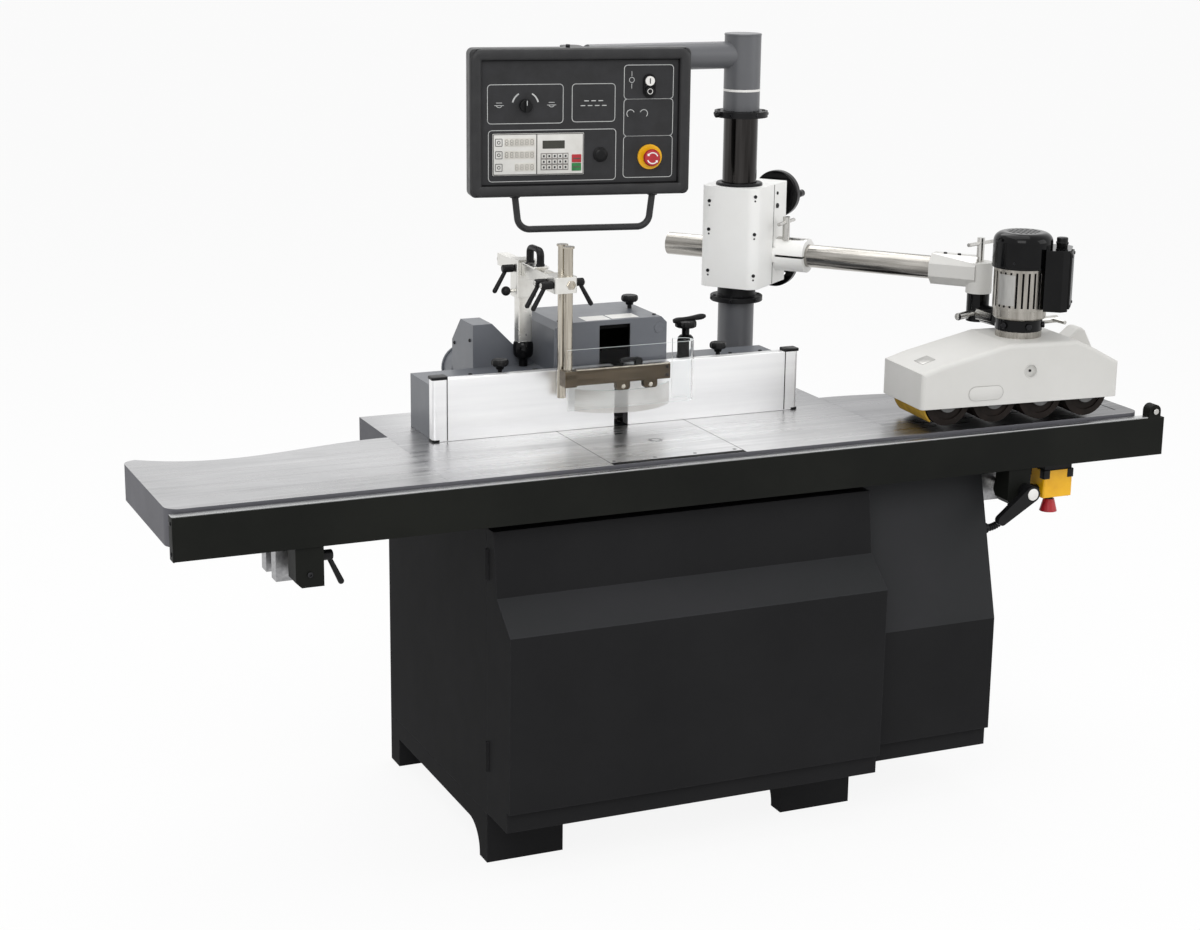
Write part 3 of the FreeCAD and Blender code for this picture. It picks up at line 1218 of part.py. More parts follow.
def guard_shoe(top):
    left = SHOE_X - SHOE_HALF
    right = SHOE_X + SHOE_HALF
    apex = SHOE_ENDS_Y - SHOE_BOW
    t = SHOE_THICK
    outer = Part.Arc(V(left, SHOE_ENDS_Y, SHOE_LOW), V(SHOE_X, apex, SHOE_LOW),
                     V(right, SHOE_ENDS_Y, SHOE_LOW)).toShape()
    inner = Part.Arc(V(right - t, SHOE_ENDS_Y, SHOE_LOW), V(SHOE_X, apex + t, SHOE_LOW),
                     V(left + t, SHOE_ENDS_Y, SHOE_LOW)).toShape()
    right_end = Part.makeLine(V(right, SHOE_ENDS_Y, SHOE_LOW), V(right - t, SHOE_ENDS_Y, SHOE_LOW))
    left_end = Part.makeLine(V(left + t, SHOE_ENDS_Y, SHOE_LOW), V(left, SHOE_ENDS_Y, SHOE_LOW))
    return Part.Face(Part.Wire([outer, right_end, inner, left_end])).extrude(V(0, 0, top - SEAT - SHOE_LOW))


def column():
    base = block(COLUMN_X - BASE_HALF, COLUMN_X + BASE_HALF, TABLE_REAR + SEAT, COLUMN_Y + BASE_HALF,
                 COLUMN_LOW, TABLE_SEAT)
    base = rounded(base, RIB / 2, lambda e: is_along(e, Z_AXIS) and e.BoundBox.YMin > COLUMN_Y)
    boss = upright(BASE_BOSS_R, COLUMN_X, COLUMN_Y, TABLE_SEAT, BASE_BOSS_TOP)
    base = fused(base, boss).cut(upright(SLEEVE_R, COLUMN_X, COLUMN_Y, COLUMN_LOW - OVERRUN,
                                         BASE_BOSS_TOP + OVERRUN))
    sleeve = tube(SLEEVE_R, CORE_R, V(COLUMN_X, COLUMN_Y, COLUMN_LOW), V(COLUMN_X, COLUMN_Y, SLEEVE_TOP))
    write("column_base", base, sleeve)
    core_top = COLUMN_TOP - COLUMN_CAP - SEAT
    core = tube(CORE_R, CORE_BORE_R, V(COLUMN_X, COLUMN_Y, COLUMN_LOW), V(COLUMN_X, COLUMN_Y, core_top))
    collar = tube(COLUMN_COLLAR_R, CORE_R, V(COLUMN_X, COLUMN_Y, COLLAR_UP_LOW),
                  V(COLUMN_X, COLUMN_Y, COLLAR_UP_HIGH))
    write("column_tube", core, collar)


def on_stand(shape):
    return placed(shape, V(COLUMN_X, COLUMN_Y, 0), ARM_DEG)


def t_screw(start, way, bar_way, long):
    end = start + way * long
    pin = rod(TSCREW_R, start, end)
    middle = end - way * (TSCREW_R + TBAR_R)
    bar = rod(TBAR_R, middle - bar_way * (TBAR_LONG / 2), middle + bar_way * (TBAR_LONG / 2))
    return fused(pin, bar)


def stand_bracket():
    collar = upright(COLUMN_COLLAR_R, 0, 0, SLEEVE_TOP + SEAT, COLLAR_LOW_HIGH)
    neck = upright(STAND_NECK_R, 0, 0, COLLAR_LOW_HIGH, STAND_LOW - SEAT)
    bore = upright(CORE_R + FIT, 0, 0, SLEEVE_TOP - OVERRUN, STAND_HIGH + OVERRUN)
    write("lift_collar", on_stand(fused(collar, neck).cut(bore)))
    body = block(-STAND_HALF, STAND_HALF, -STAND_FRONT, STAND_BACK, STAND_LOW, STAND_HIGH)
    body = rounded(body, STAND_EDGE, lambda e: is_along(e, Z_AXIS) and e.BoundBox.YMax < 0)
    body = rounded(body, STAND_ROUND,
                   lambda e: is_along(e, Z_AXIS) and e.BoundBox.YMin > STAND_BACK - STAND_ROUND)
    boss = rod(ARM_BOSS_R, V(0, ARM_V, ARM_Z), V(ARM_BOSS_END, ARM_V, ARM_Z))
    body = fused(body, boss)
    arm_hole = rod(ARM_R + FIT, V(-STAND_HALF - OVERRUN, ARM_V, ARM_Z),
                   V(ARM_BOSS_END + OVERRUN, ARM_V, ARM_Z))
    slot = block(STAND_HALF + STAND_ROUND, ARM_BOSS_END + OVERRUN, ARM_V - ARM_BOSS_R - OVERRUN, ARM_V,
                 ARM_Z - ARM_SLOT / 2, ARM_Z + ARM_SLOT / 2)
    seam = block(-STAND_HALF - OVERRUN, STAND_HALF + OVERRUN, STAND_SPLIT_V - STAND_SPLIT / 2,
                 STAND_SPLIT_V + STAND_SPLIT / 2,
                 STAND_LOW - OVERRUN, STAND_HIGH + OVERRUN)
    keep = block(-STAND_HALF + STAND_SPLIT, STAND_HALF - STAND_SPLIT, -STAND_FRONT, STAND_BACK,
                 STAND_LOW + STAND_SPLIT, STAND_HIGH - STAND_SPLIT)
    body = body.cut(bore).cut(arm_hole).cut(slot).cut(seam.cut(keep))
    for z in (WHEEL_HIGH_Z, WHEEL_LOW_Z):
        hole = rod(WHEEL_SHAFT_R + FIT, V(WHEEL_U, STAND_BACK - WHEEL_STAND_OFF, z),
                   V(WHEEL_U, STAND_BACK + OVERRUN, z))
        body = body.cut(hole)
    screw = t_screw(V(ARM_SCREW_U, ARM_V - ARM_BOSS_R / 2, ARM_Z + ARM_BOSS_R * ARM_SCREW_SHARE), Z_AXIS,
                    Y_AXIS, TSCREW_LONG)
    write("stand_bracket", on_stand(body), on_stand(screw.cut(boss)))


def stand_wheel(z, dished):
    back = STAND_BACK + WHEEL_STAND_OFF
    shaft = rod(WHEEL_SHAFT_R, V(WHEEL_U, STAND_BACK - WHEEL_STAND_OFF + SEAT, z),
                V(WHEEL_U, back + WHEEL_THICK, z))
    hub = rod(WHEEL_HUB_R, V(WHEEL_U, back, z), V(WHEEL_U, back + WHEEL_THICK, z))
    rim = tube(WHEEL_R, WHEEL_R - WHEEL_RIM * 2, V(WHEEL_U, back, z), V(WHEEL_U, back + WHEEL_THICK, z))
    rim = rounded(rim, WHEEL_RIM / 2,
                  lambda e: isinstance(e.Curve, Part.Circle) and e.Curve.Radius > WHEEL_R - WHEEL_RIM)
    grip = rod(GRIP_R, V(WHEEL_U + WHEEL_R - WHEEL_RIM, back + WHEEL_THICK, z),
               V(WHEEL_U + WHEEL_R - WHEEL_RIM, back + WHEEL_THICK + GRIP_LONG, z))
    if dished:
        web = rod(WHEEL_R - WHEEL_RIM, V(WHEEL_U, back + WHEEL_THICK - WHEEL_RIM, z),
                  V(WHEEL_U, back + WHEEL_THICK, z))
        return [on_stand(fused(shaft, hub, rim, web)), on_stand(grip)]
    spokes = []
    middle = V(WHEEL_U, back + WHEEL_THICK / 2, z)
    for i in range(WHEEL_SPOKES):
        turn = 2 * math.pi * i / WHEEL_SPOKES + math.pi / 2
        spokes.append(rod(WHEEL_SPOKE_R, middle,
                          middle + V(math.cos(turn), 0, math.sin(turn)) * (WHEEL_R - WHEEL_RIM)))
    return [on_stand(fused(shaft, hub, rim, *spokes)), on_stand(grip)]


def feeder_arm():
    arm = tube(ARM_R, ARM_BORE_R, V(ARM_START, ARM_V, ARM_Z), V(ARM_END, ARM_V, ARM_Z))
    write("feeder_arm", on_stand(arm))
    write("lift_handwheel", *stand_wheel(WHEEL_HIGH_Z, True))
    write("arm_handwheel", *stand_wheel(WHEEL_LOW_Z, False))


def elbow_place():
    turn = math.radians(ARM_DEG)
    return V(COLUMN_X + ELBOW_U * math.cos(turn) - ARM_V * math.sin(turn),
             COLUMN_Y + ELBOW_U * math.sin(turn) + ARM_V * math.cos(turn), 0)


def motor_place():
    turn = math.radians(FEED_DEG)
    return V(FEED_X + MOTOR_ALONG * math.cos(turn) - MOTOR_ACROSS * math.sin(turn),
             FEED_Y + MOTOR_ALONG * math.sin(turn) + MOTOR_ACROSS * math.cos(turn), 0)


def swivel_elbow():
    corner = ELBOW_FLATS / math.cos(math.pi / 8)
    points = []
    for i in range(8):
        turn = math.pi / 8 + i * math.pi / 4
        points.append(V(ELBOW_START, ARM_V + corner * math.cos(turn), ARM_Z + corner * math.sin(turn)))
    sleeve = prism(points, V(ELBOW_U - ELBOW_START, 0, 0))
    barrel = upright(ELBOW_R, ELBOW_U, ARM_V, ELBOW_LOW, ELBOW_HIGH)
    sleeve = sleeve.common(block(ELBOW_START, ELBOW_U, ARM_V - corner, ARM_V + corner, ARM_Z - corner,
                                 ARM_Z + corner))
    body = fused(sleeve, barrel)
    body = body.cut(rod(ARM_R, V(ELBOW_START - OVERRUN, ARM_V, ARM_Z), V(ARM_END, ARM_V, ARM_Z)))
    body = body.cut(upright(JOINT_PIN_R + FIT, ELBOW_U, ARM_V, ELBOW_LOW - OVERRUN,
                            ELBOW_LOW + JOINT_PIN_LONG))
    body = on_stand(body)
    write("swivel_elbow", body, elbow_screw().cut(body))


def elbow_screw():
    turn = math.radians(ELBOW_BAR_DEG)
    start = elbow_place() + V(0, 0, ELBOW_HIGH)
    return t_screw(start, Z_AXIS, V(math.cos(turn), math.sin(turn), 0), TSCREW_LONG)


def swivel_joint():
    place = elbow_place()
    motor = motor_place()
    run = motor - place
    way = V(run.x, run.y, run.z).normalize()
    body = upright(JOINT_R, place.x, place.y, JOINT_LOW, ELBOW_LOW - SEAT)
    pin = upright(JOINT_PIN_R, place.x, place.y, ELBOW_LOW - SEAT, ELBOW_LOW + JOINT_PIN_LONG - JOINT_PIN_GAP)
    mid_z = (RING_LOW + RING_HIGH) / 2
    start = V(place.x, place.y, mid_z)
    stub = rod(JOINT_STUB_R, start, start + way * (run.Length * JOINT_STUB_SHARE))
    side = V(-way.y, way.x, 0) * JOINT_NECK_HALF
    foot = V(place.x, place.y, RING_LOW)
    hub = V(motor.x, motor.y, RING_LOW)
    web = prism([foot + side, hub + side, hub - side, foot - side], V(0, 0, RING_HIGH - RING_LOW))
    ring = upright(RING_R, motor.x, motor.y, RING_LOW, RING_HIGH)
    body = fused(body, pin, stub, web, ring)
    body = body.cut(upright(FEED_NECK_R + FIT, motor.x, motor.y, RING_LOW - OVERRUN, RING_HIGH + OVERRUN))
    left = math.radians(JOINT_SCREW_DEG)
    right = math.radians(RING_SCREW_DEG)
    out = V(math.cos(left), math.sin(left), 0)
    away = V(math.cos(right), math.sin(right), 0)
    left_screw = rod(TSCREW_R, start + out * JOINT_R, start + out * (JOINT_R + TSCREW_LONG)).cut(body)
    right_screw = t_screw(V(motor.x, motor.y, mid_z) + away * RING_R, away, V(-away.y, away.x, 0),
                          TSCREW_LONG).cut(body)
    write("swivel_joint", body, left_screw, right_screw)


def on_feeder(shape):
    return placed(shape, V(FEED_X, FEED_Y, 0), FEED_DEG)


def feeder_body():
    length = FEED_LONG
    outline = [V(FEED_NOSE_SHARE * length, 0, FEED_LOW), V(length, 0, FEED_LOW),
               V(length, 0, FEED_SHOULDER),
               V(FEED_TAIL_SHARE * length, 0, FEED_TOP - FEED_TAIL_DROP),
               V(FEED_FLAT_SHARE * length, 0, FEED_TOP),
               V(FEED_RAMP_SHARE * length, 0, FEED_TOP),
               V(FEED_NOSE_TOP_SHARE * length, 0, FEED_SHOULDER + FEED_NOSE_RISE),
               V(FEED_NOSE_SHARE * length, 0, FEED_SHOULDER)]
    body = prism(outline, V(0, FEED_DEEP, 0))
    high = FEED_LOW + FEED_ROUND
    body = rounded(body, FEED_ROUND, lambda e: e.BoundBox.ZMax > high and not is_along(e, Y_AXIS))
    roof = ROLLER_Z + ROLLER_R + FEED_ROUND / 2
    pocket = block(0, length - FEED_WALL, FEED_WALL, FEED_DEEP - FEED_WALL, FEED_LOW - OVERRUN, roof)
    body = body.cut(pocket)
    for i in range(ROLLERS):
        x = ROLLER_FIRST + i * ROLLER_PITCH
        body = body.cut(rod(ROLLER_AXLE_R + FIT, V(x, FEED_WALL / 4, ROLLER_Z),
                            V(x, FEED_DEEP - FEED_WALL / 4, ROLLER_Z)))
    dimple = rod(FEED_DIMPLE_R, V(FEED_DIMPLE_SHARE * length, -OVERRUN, FEED_DIMPLE_Z),
                 V(FEED_DIMPLE_SHARE * length, FEED_DIMPLE_DEEP, FEED_DIMPLE_Z))
    body = body.cut(dimple)
    ring = upright(FEED_RING_R, MOTOR_ALONG, MOTOR_ACROSS, FEED_TOP, FEED_RING_HIGH)
    neck = upright(FEED_NECK_R, MOTOR_ALONG, MOTOR_ACROSS, FEED_RING_HIGH, RING_HIGH + SEAT)
    write("feeder_body", on_feeder(body), on_feeder(fused(ring, neck)))


def feeder_roller(i):
    x = ROLLER_FIRST + i * ROLLER_PITCH
    back = ROLLER_FRONT + ROLLER_LONG
    tyre = rod(ROLLER_R, V(x, ROLLER_FRONT, ROLLER_Z), V(x, back, ROLLER_Z))
    step = ROLLER_LONG / ROLLER_BAND_COUNT
    for k in range(1, ROLLER_BAND_COUNT):
        y = ROLLER_FRONT + step * k
        groove = tube(ROLLER_R + OVERRUN, ROLLER_R - ROLLER_GROOVE, V(x, y - ROLLER_GROOVE, ROLLER_Z),
                      V(x, y + ROLLER_GROOVE, ROLLER_Z))
        tyre = tyre.cut(groove)
    dish = rod(ROLLER_R - ROLLER_TYRE, V(x, ROLLER_FRONT - OVERRUN, ROLLER_Z),
               V(x, ROLLER_FRONT + ROLLER_CAP_HIGH, ROLLER_Z))
    tyre = tyre.cut(dish)
    cap = rod(ROLLER_CAP_R, V(x, ROLLER_FRONT - ROLLER_CAP_HIGH, ROLLER_Z),
              V(x, ROLLER_FRONT + ROLLER_CAP_HIGH, ROLLER_Z))
    axle = rod(ROLLER_AXLE_R, V(x, FEED_WALL / 4 + SEAT, ROLLER_Z),
               V(x, FEED_DEEP - FEED_WALL / 4 - SEAT, ROLLER_Z))
    write("feeder_roller_%d" % (i + 1), on_feeder(fused(tyre, cap, axle)))


def feeder_motor():
    low = RING_HIGH + SEAT
    flange = upright(FEED_FLANGE_R, 0, 0, low, FEED_FLANGE_HIGH)
    flange = rounded(flange, FEED_FLANGE_R / 8, lambda e: e.BoundBox.ZMax < FEED_FLANGE_HIGH)
    body = upright(FEED_MOTOR_R, 0, 0, FEED_FLANGE_HIGH, FEED_MOTOR_HIGH)
    for i in range(FEED_FINS):
        slot = block(FEED_MOTOR_R - FEED_FIN_DEEP, FEED_MOTOR_R + OVERRUN, -FEED_FIN_WIDE / 2,
                     FEED_FIN_WIDE / 2,
                     FEED_FLANGE_HIGH + FEED_FIN_DEEP, FEED_MOTOR_HIGH - FEED_FIN_DEEP)
        body = body.cut(placed(slot, V(0, 0, 0), 360.0 * i / FEED_FINS))
    fan = upright(FAN_R, 0, 0, FEED_MOTOR_HIGH, FAN_TOP)
    fan = rounded(fan, FAN_ROUND, lambda e: e.BoundBox.ZMin > FEED_MOTOR_HIGH)
    pitch = FAN_SLOT_LONG / FAN_SLOTS
    for i in range(FAN_SLOTS):
        x = (i - (FAN_SLOTS - 1) / 2) * pitch
        reach = math.sqrt(FAN_SLOT_LONG * FAN_SLOT_LONG / 4 - x * x)
        fan = fan.cut(block(x - FAN_SLOT_WIDE / 2, x + FAN_SLOT_WIDE / 2, -reach, reach,
                            FAN_TOP - FAN_SLOT_DEEP, FAN_TOP + OVERRUN))
    box = block(TERMINAL_NEAR, TERMINAL_FAR, -TERMINAL_HALF, TERMINAL_HALF, TERMINAL_LOW, TERMINAL_HIGH)
    edges = [e for e in box.Edges if is_along(e, Z_AXIS) and e.BoundBox.XMin > TERMINAL_NEAR]
    box = box.makeChamfer(TERMINAL_CHAMFER, edges)
    keep_out = fused(upright(FEED_MOTOR_R + SEAT, 0, 0, TERMINAL_LOW - OVERRUN, FEED_MOTOR_HIGH),
                     upright(FAN_R + SEAT, 0, 0, FEED_MOTOR_HIGH - SEAT, FAN_TOP))
    box = placed(box.cut(keep_out), V(0, 0, 0), TERMINAL_DEG)
    place = V(MOTOR_ALONG, MOTOR_ACROSS, 0)
    solids = [on_feeder(placed(s, place, 0)) for s in (fused(flange, body), fan, box)]
    write("feeder_motor", *solids)


def on_panel(shape):
    return placed(shape, V(PANEL_PIVOT_X, COLUMN_Y, 0), PANEL_DEG)


def panel_arm():
    sleeve = tube(SLEEVE_R, CORE_R + FIT, V(COLUMN_X, COLUMN_Y, COLLAR_UP_HIGH + SEAT),
                  V(COLUMN_X, COLUMN_Y, COLUMN_TOP - COLUMN_CAP))
    cap = upright(SLEEVE_R, COLUMN_X, COLUMN_Y, COLUMN_TOP - COLUMN_CAP, COLUMN_TOP)
    start = V(COLUMN_X, COLUMN_Y, PANEL_ARM_Z)
    end = V(PANEL_PIVOT_X, COLUMN_Y, PANEL_ARM_Z)
    arm = tube(PANEL_ARM_R, PANEL_ARM_BORE_R, start, end)
    arm = arm.cut(upright(SLEEVE_R, COLUMN_X, COLUMN_Y, PANEL_ARM_Z - PANEL_ARM_R * 2,
                          PANEL_ARM_Z + PANEL_ARM_R * 2))
    low = PANEL_ARM_Z - PANEL_PIVOT_HALF
    high = PANEL_ARM_Z + PANEL_PIVOT_HALF
    sweep = upright(LUG_SWEEP_R, PANEL_PIVOT_X, COLUMN_Y, low - PANEL_ARM_R, high + PANEL_ARM_R)
    sweep = sweep.cut(upright(LUG_SWEEP_R, PANEL_PIVOT_X, COLUMN_Y, low, high))
    knuckle = upright(PANEL_PIVOT_R, PANEL_PIVOT_X, COLUMN_Y, low, high)
    arm = arm.cut(sweep).cut(knuckle)
    knuckle = knuckle.cut(upright(PANEL_PIVOT_PIN_R + FIT, PANEL_PIVOT_X, COLUMN_Y, low - OVERRUN,
                                  high + OVERRUN))
    write("panel_arm", fused(sleeve, cap, arm, knuckle))


def panel_block(u0, u1, depth0, depth1, w0, w1):
    face = -PANEL_STAND
    return block(PANEL_SHIFT + u0, PANEL_SHIFT + u1, face + depth0, face + depth1, PANEL_MID_Z + w0,
                 PANEL_MID_Z + w1)


def panel_peg(radius, u, w, depth0, depth1):
    face = -PANEL_STAND
    return rod(radius, V(PANEL_SHIFT + u, face + depth0, PANEL_MID_Z + w),
               V(PANEL_SHIFT + u, face + depth1, PANEL_MID_Z + w))


def panel_case():
    half = PANEL_WIDE / 2
    tall = PANEL_HIGH / 2
    deck = FRAME_PROUD
    case = panel_block(-half, half, deck, PANEL_DEEP, -tall, tall)
    case = rounded(case, PANEL_CORNER, lambda e: is_along(e, Y_AXIS))
    frame = panel_block(-half, half, 0, deck, -tall, tall)
    frame = rounded(frame, PANEL_CORNER, lambda e: is_along(e, Y_AXIS))
    frame = rounded(frame, FRAME_ROUND, lambda e: e.BoundBox.YMax < -PANEL_STAND + deck / 2)
    frame = frame.cut(panel_block(-half + FRAME_WIDE, half - FRAME_WIDE, -OVERRUN, deck + OVERRUN,
                                  -tall + FRAME_WIDE, tall - FRAME_WIDE))
    back = -PANEL_STAND + PANEL_DEEP
    low = PANEL_ARM_Z - PANEL_PIVOT_HALF
    high = PANEL_ARM_Z + PANEL_PIVOT_HALF
    for z0, z1 in ((low - SEAT - LUG_THICK, low - SEAT), (high + SEAT, high + SEAT + LUG_THICK)):
        lug = block(-LUG_HALF, LUG_HALF, back - LUG_THICK, 0, z0, z1)
        case = case.fuse([lug, upright(LUG_HALF, 0, 0, z0, z1)])
    web = block(-LUG_HALF, LUG_HALF, back - LUG_THICK, back, PANEL_MID_Z, high + SEAT + LUG_THICK)
    pin = upright(PANEL_PIVOT_PIN_R, 0, 0, low - SEAT, high + SEAT)
    case = case.fuse([web, pin])
    case = case.fuse(panel_peg(PANEL_PLUG_R, PLUG_U, PLUG_W, deck - PANEL_PLUG_HIGH, deck + RAISED))
    case = case.fuse(panel_peg(SWITCH_R, SWITCH_U, SWITCH_W - SWITCH_GAP / 2, deck - SWITCH_HIGH,
                               deck + RAISED))
    stem_holes = ((STOP_STEM_R, STOP_U, STOP_W), (SWITCH_R, SWITCH_U, SWITCH_W + SWITCH_GAP / 2),
                  (SELECT_R / 2, SELECT_U, SELECT_W))
    for radius, u, w in stem_holes:
        case = case.cut(panel_peg(radius + BUTTON_HOLE, u, w, deck - OVERRUN, deck + STOP_RISE * 2))
    collar = panel_peg(STOP_COLLAR_R, STOP_U, STOP_W, deck - STOP_COLLAR_HIGH, deck)
    collar = collar.cut(panel_peg(STOP_STEM_R + BUTTON_HOLE, STOP_U, STOP_W, -OVERRUN, deck + OVERRUN))
    write("panel_case", on_panel(case.removeSplitter()), on_panel(frame), on_panel(collar))


def panel_controls():
    deck = FRAME_PROUD
    pad = panel_block(PAD_LEFT, PAD_RIGHT, deck - PAD_THICK, deck, PAD_LOW, PAD_HIGH)
    top = deck - PAD_THICK
    half = KEY_SIDE / 2
    for row in range(KEY_ROWS):
        for column_index in range(KEY_COLUMNS):
            u = KEY_FIRST_U + column_index * KEY_PITCH
            w = KEY_FIRST_W - row * KEY_PITCH
            pad = pad.fuse(panel_block(u - half, u + half, top - KEY_HIGH, top, w - half, w + half))
    pad = pad.cut(panel_block(SCREEN_LEFT, SCREEN_RIGHT, top - OVERRUN, top + KEY_HIGH, SCREEN_LOW,
                              SCREEN_HIGH))
    write("panel_keypad", on_panel(pad))
    knob = panel_peg(SELECT_R, SELECT_U, SELECT_W, deck - SELECT_HIGH, deck - SEAT)
    knob = rounded(knob, SELECT_R / 6, lambda e: e.BoundBox.YMax < -PANEL_STAND)
    grip = panel_block(SELECT_U - SELECT_GRIP / 2, SELECT_U + SELECT_GRIP / 2,
                       deck - SELECT_HIGH - SELECT_GRIP, deck - SELECT_HIGH,
                       SELECT_W - SELECT_R * SELECT_GRIP_SHARE, SELECT_W + SELECT_R * SELECT_GRIP_SHARE)
    stem = panel_peg(SELECT_R / 2, SELECT_U, SELECT_W, deck - SEAT, deck + STOP_RISE)
    write("panel_selector", on_panel(fused(knob, grip, stem)))
    w = SWITCH_W + SWITCH_GAP / 2
    write("start_button", on_panel(panel_peg(SWITCH_R, SWITCH_U, w, deck - SWITCH_HIGH, deck + STOP_RISE)))
    stem = panel_peg(STOP_STEM_R, STOP_U, STOP_W, deck - STOP_COLLAR_HIGH - STOP_RISE, deck + STOP_RISE)
    head = panel_peg(STOP_HEAD_R, STOP_U, STOP_W, deck - STOP_COLLAR_HIGH - STOP_RISE - STOP_HEAD_HIGH,
                     deck - STOP_COLLAR_HIGH - STOP_RISE)
    head = rounded(head, STOP_HEAD_HIGH / 3, lambda e: True)
    write("panel_stop_button", on_panel(fused(stem, head)))
    y = -PANEL_STAND + PANEL_DEEP / 2
    low = PANEL_MID_Z - PANEL_HIGH / 2
    points = [V(PANEL_SHIFT + GRAB_LEFT, y, low), V(PANEL_SHIFT + GRAB_LEFT, y, low - GRAB_DROP / 3),
              V(PANEL_SHIFT + GRAB_LEFT + GRAB_TAPER, y, low - GRAB_DROP),
              V(PANEL_SHIFT + GRAB_RIGHT - GRAB_TAPER, y, low - GRAB_DROP),
              V(PANEL_SHIFT + GRAB_RIGHT, y, low - GRAB_DROP / 3), V(PANEL_SHIFT + GRAB_RIGHT, y, low)]
    write("panel_handle", on_panel(bent_tube(points, GRAB_BEND, GRAB_R)))


def main():
    os.makedirs("parts", exist_ok=True)
    cabinet_base()
    cabinet_body()
    front_door()
    side_cabinet()
    centre_table()
    wings()
    table_insert()
    front_rail()
    rail_blocks()
    rail_levers()
    stop_box()
    stop_conduit()
    lift_unit()
    hood_body()
    dust_chute()
    fence_plates()
    fence_knobs()
    guard_post()
    guard_head()
    guard_beam()
    guard_front()
    column()
    stand_bracket()
    feeder_arm()
    swivel_elbow()
    swivel_joint()
    feeder_body()
    for i in range(ROLLERS):
        feeder_roller(i)
    feeder_motor()
    panel_arm()
    panel_case()
    panel_controls()


main()
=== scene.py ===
import math

import bmesh
import bpy
from mathutils import Matrix, Vector


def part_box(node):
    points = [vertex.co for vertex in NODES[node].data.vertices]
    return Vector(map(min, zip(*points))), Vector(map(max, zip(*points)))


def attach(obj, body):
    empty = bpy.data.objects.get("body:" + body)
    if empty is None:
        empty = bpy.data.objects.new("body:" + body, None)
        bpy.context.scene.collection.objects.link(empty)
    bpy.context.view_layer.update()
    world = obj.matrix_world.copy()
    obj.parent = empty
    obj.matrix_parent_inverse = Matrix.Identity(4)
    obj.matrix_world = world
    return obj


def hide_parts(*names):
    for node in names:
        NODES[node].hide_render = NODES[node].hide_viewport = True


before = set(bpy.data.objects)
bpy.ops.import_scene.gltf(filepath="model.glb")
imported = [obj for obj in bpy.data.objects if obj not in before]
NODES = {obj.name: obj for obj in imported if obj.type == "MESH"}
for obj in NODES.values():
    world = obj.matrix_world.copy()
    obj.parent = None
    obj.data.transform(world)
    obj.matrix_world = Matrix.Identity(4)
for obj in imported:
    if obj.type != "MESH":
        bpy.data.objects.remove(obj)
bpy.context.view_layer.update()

# Looks of a spindle moulder with sliding rail, overarm guard, control panel and power feeder.
# Lengths are in millimetres until a piece is finished, which scales it to metres.

MM = 0.001
SCENE = bpy.context.scene
ROUND = 32

# Places repeated from the solid model, in millimetres
COLUMN = (463, 295)
STAND_AT = Matrix.Translation((*COLUMN, 0)) @ Matrix.Rotation(math.radians(-50.8), 4, "Z")
FEED_AT = Matrix.Translation((632, -345, 0)) @ Matrix.Rotation(math.radians(-4), 4, "Z")
MOTOR_AT = FEED_AT @ Matrix.Translation((283, 100, 0))
PANEL_AT = (Matrix.Translation((9, 295, 0)) @ Matrix.Rotation(math.radians(-10), 4, "Z")
            @ Matrix.Translation((8, -80, 1567)))
CONDUIT_ROUTE = ((950, -318, 722), (910, -318, 722), (869, -318, 640), (829, -318, 640))
CONDUIT_R = 9
CONDUIT_ROOT_R = 7.2
CONDUIT_RIBS = 26
RIB = ((0, CONDUIT_ROOT_R), (0.3, CONDUIT_ROOT_R), (0.42, CONDUIT_R - 0.4), (0.55, CONDUIT_R),
       (0.75, CONDUIT_R), (0.88, CONDUIT_R - 0.4))
CABINET_BACK = 346.6
COLLAR = (*COLUMN, 1564.5)


def box_middle(node):
    low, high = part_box(node)
    return (low + high) / (2 * MM)


# Places taken from the frame, in millimetres
TABLE_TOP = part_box("centre_table")[1].z / MM
DECK_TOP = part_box("guard_post")[0].z / MM
HOOD_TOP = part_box("hood_body")[1].z / MM
POST_X = box_middle("beam_handle").x
STOP_BOX = box_middle("stop_box_button").xy
ADJUSTER = (212, 62, DECK_TOP)

# Places and heights on the panel's face
PANEL_FACE = PANEL_AT @ Matrix.Rotation(math.radians(90), 4, "X")
SELECTOR = (-131, 40)
PANEL_STOP = (167, -83)
PANEL_PLUG = (48, -76, 0)
HANDLE_DEEP = -13
PRINT = (-0.1, 0.35)
DIGIT_PITCH = 12
KEY_PITCH = 13
READOUT_PITCH = 29

# Camera fitted to the photograph, in metres, degrees and the photograph's pixels
CAMERA_AT = (-2.098, -4.689, 2.151)
CAMERA_TURNS = (-23.78, 14.793, 0.668)
FOCAL_PX = 2280.19
PHOTO_PX = 1200.0
SENSOR = 36.0

# Studio, in metres and watts: each lamp has a name, a place, a side and a power
LAMPS = (("key", (-2.6, -4.2, 4.4), 3.2, 120.0), ("fill", (4.4, -3.4, 3.0), 3.0, 55.0),
         ("top", (0.2, 0.2, 5.2), 3.6, 72.0), ("rim", (1.2, 3.4, 5.0), 2.4, 45.0))
LAMP_TARGET = Vector((0.1, -0.1, 0.9))
WHITE = (1.0, 1.0, 1.0, 1.0)
SKY = 0.6
FLOOR_R = 70.0
FLOOR_WHITE = 0.9

# One for each axis, and the axes
EVEN = (1.0, 1.0, 1.0)
X = Vector((1, 0, 0))
Y = Vector((0, 1, 0))
Z = Vector((0, 0, 1))


def linear(code):
    parts = [int(code[i:i + 2], 16) / 255 for i in (0, 2, 4)]
    return tuple(p / 12.92 if p <= 0.04045 else ((p + 0.055) / 1.055) ** 2.4 for p in parts) + (1.0,)


def feed(tree, socket, value):
    """Links a socket to another, or sets it to a plain value."""
    if isinstance(value, bpy.types.NodeSocket):
        tree.links.new(value, socket)
    else:
        socket.default_value = value


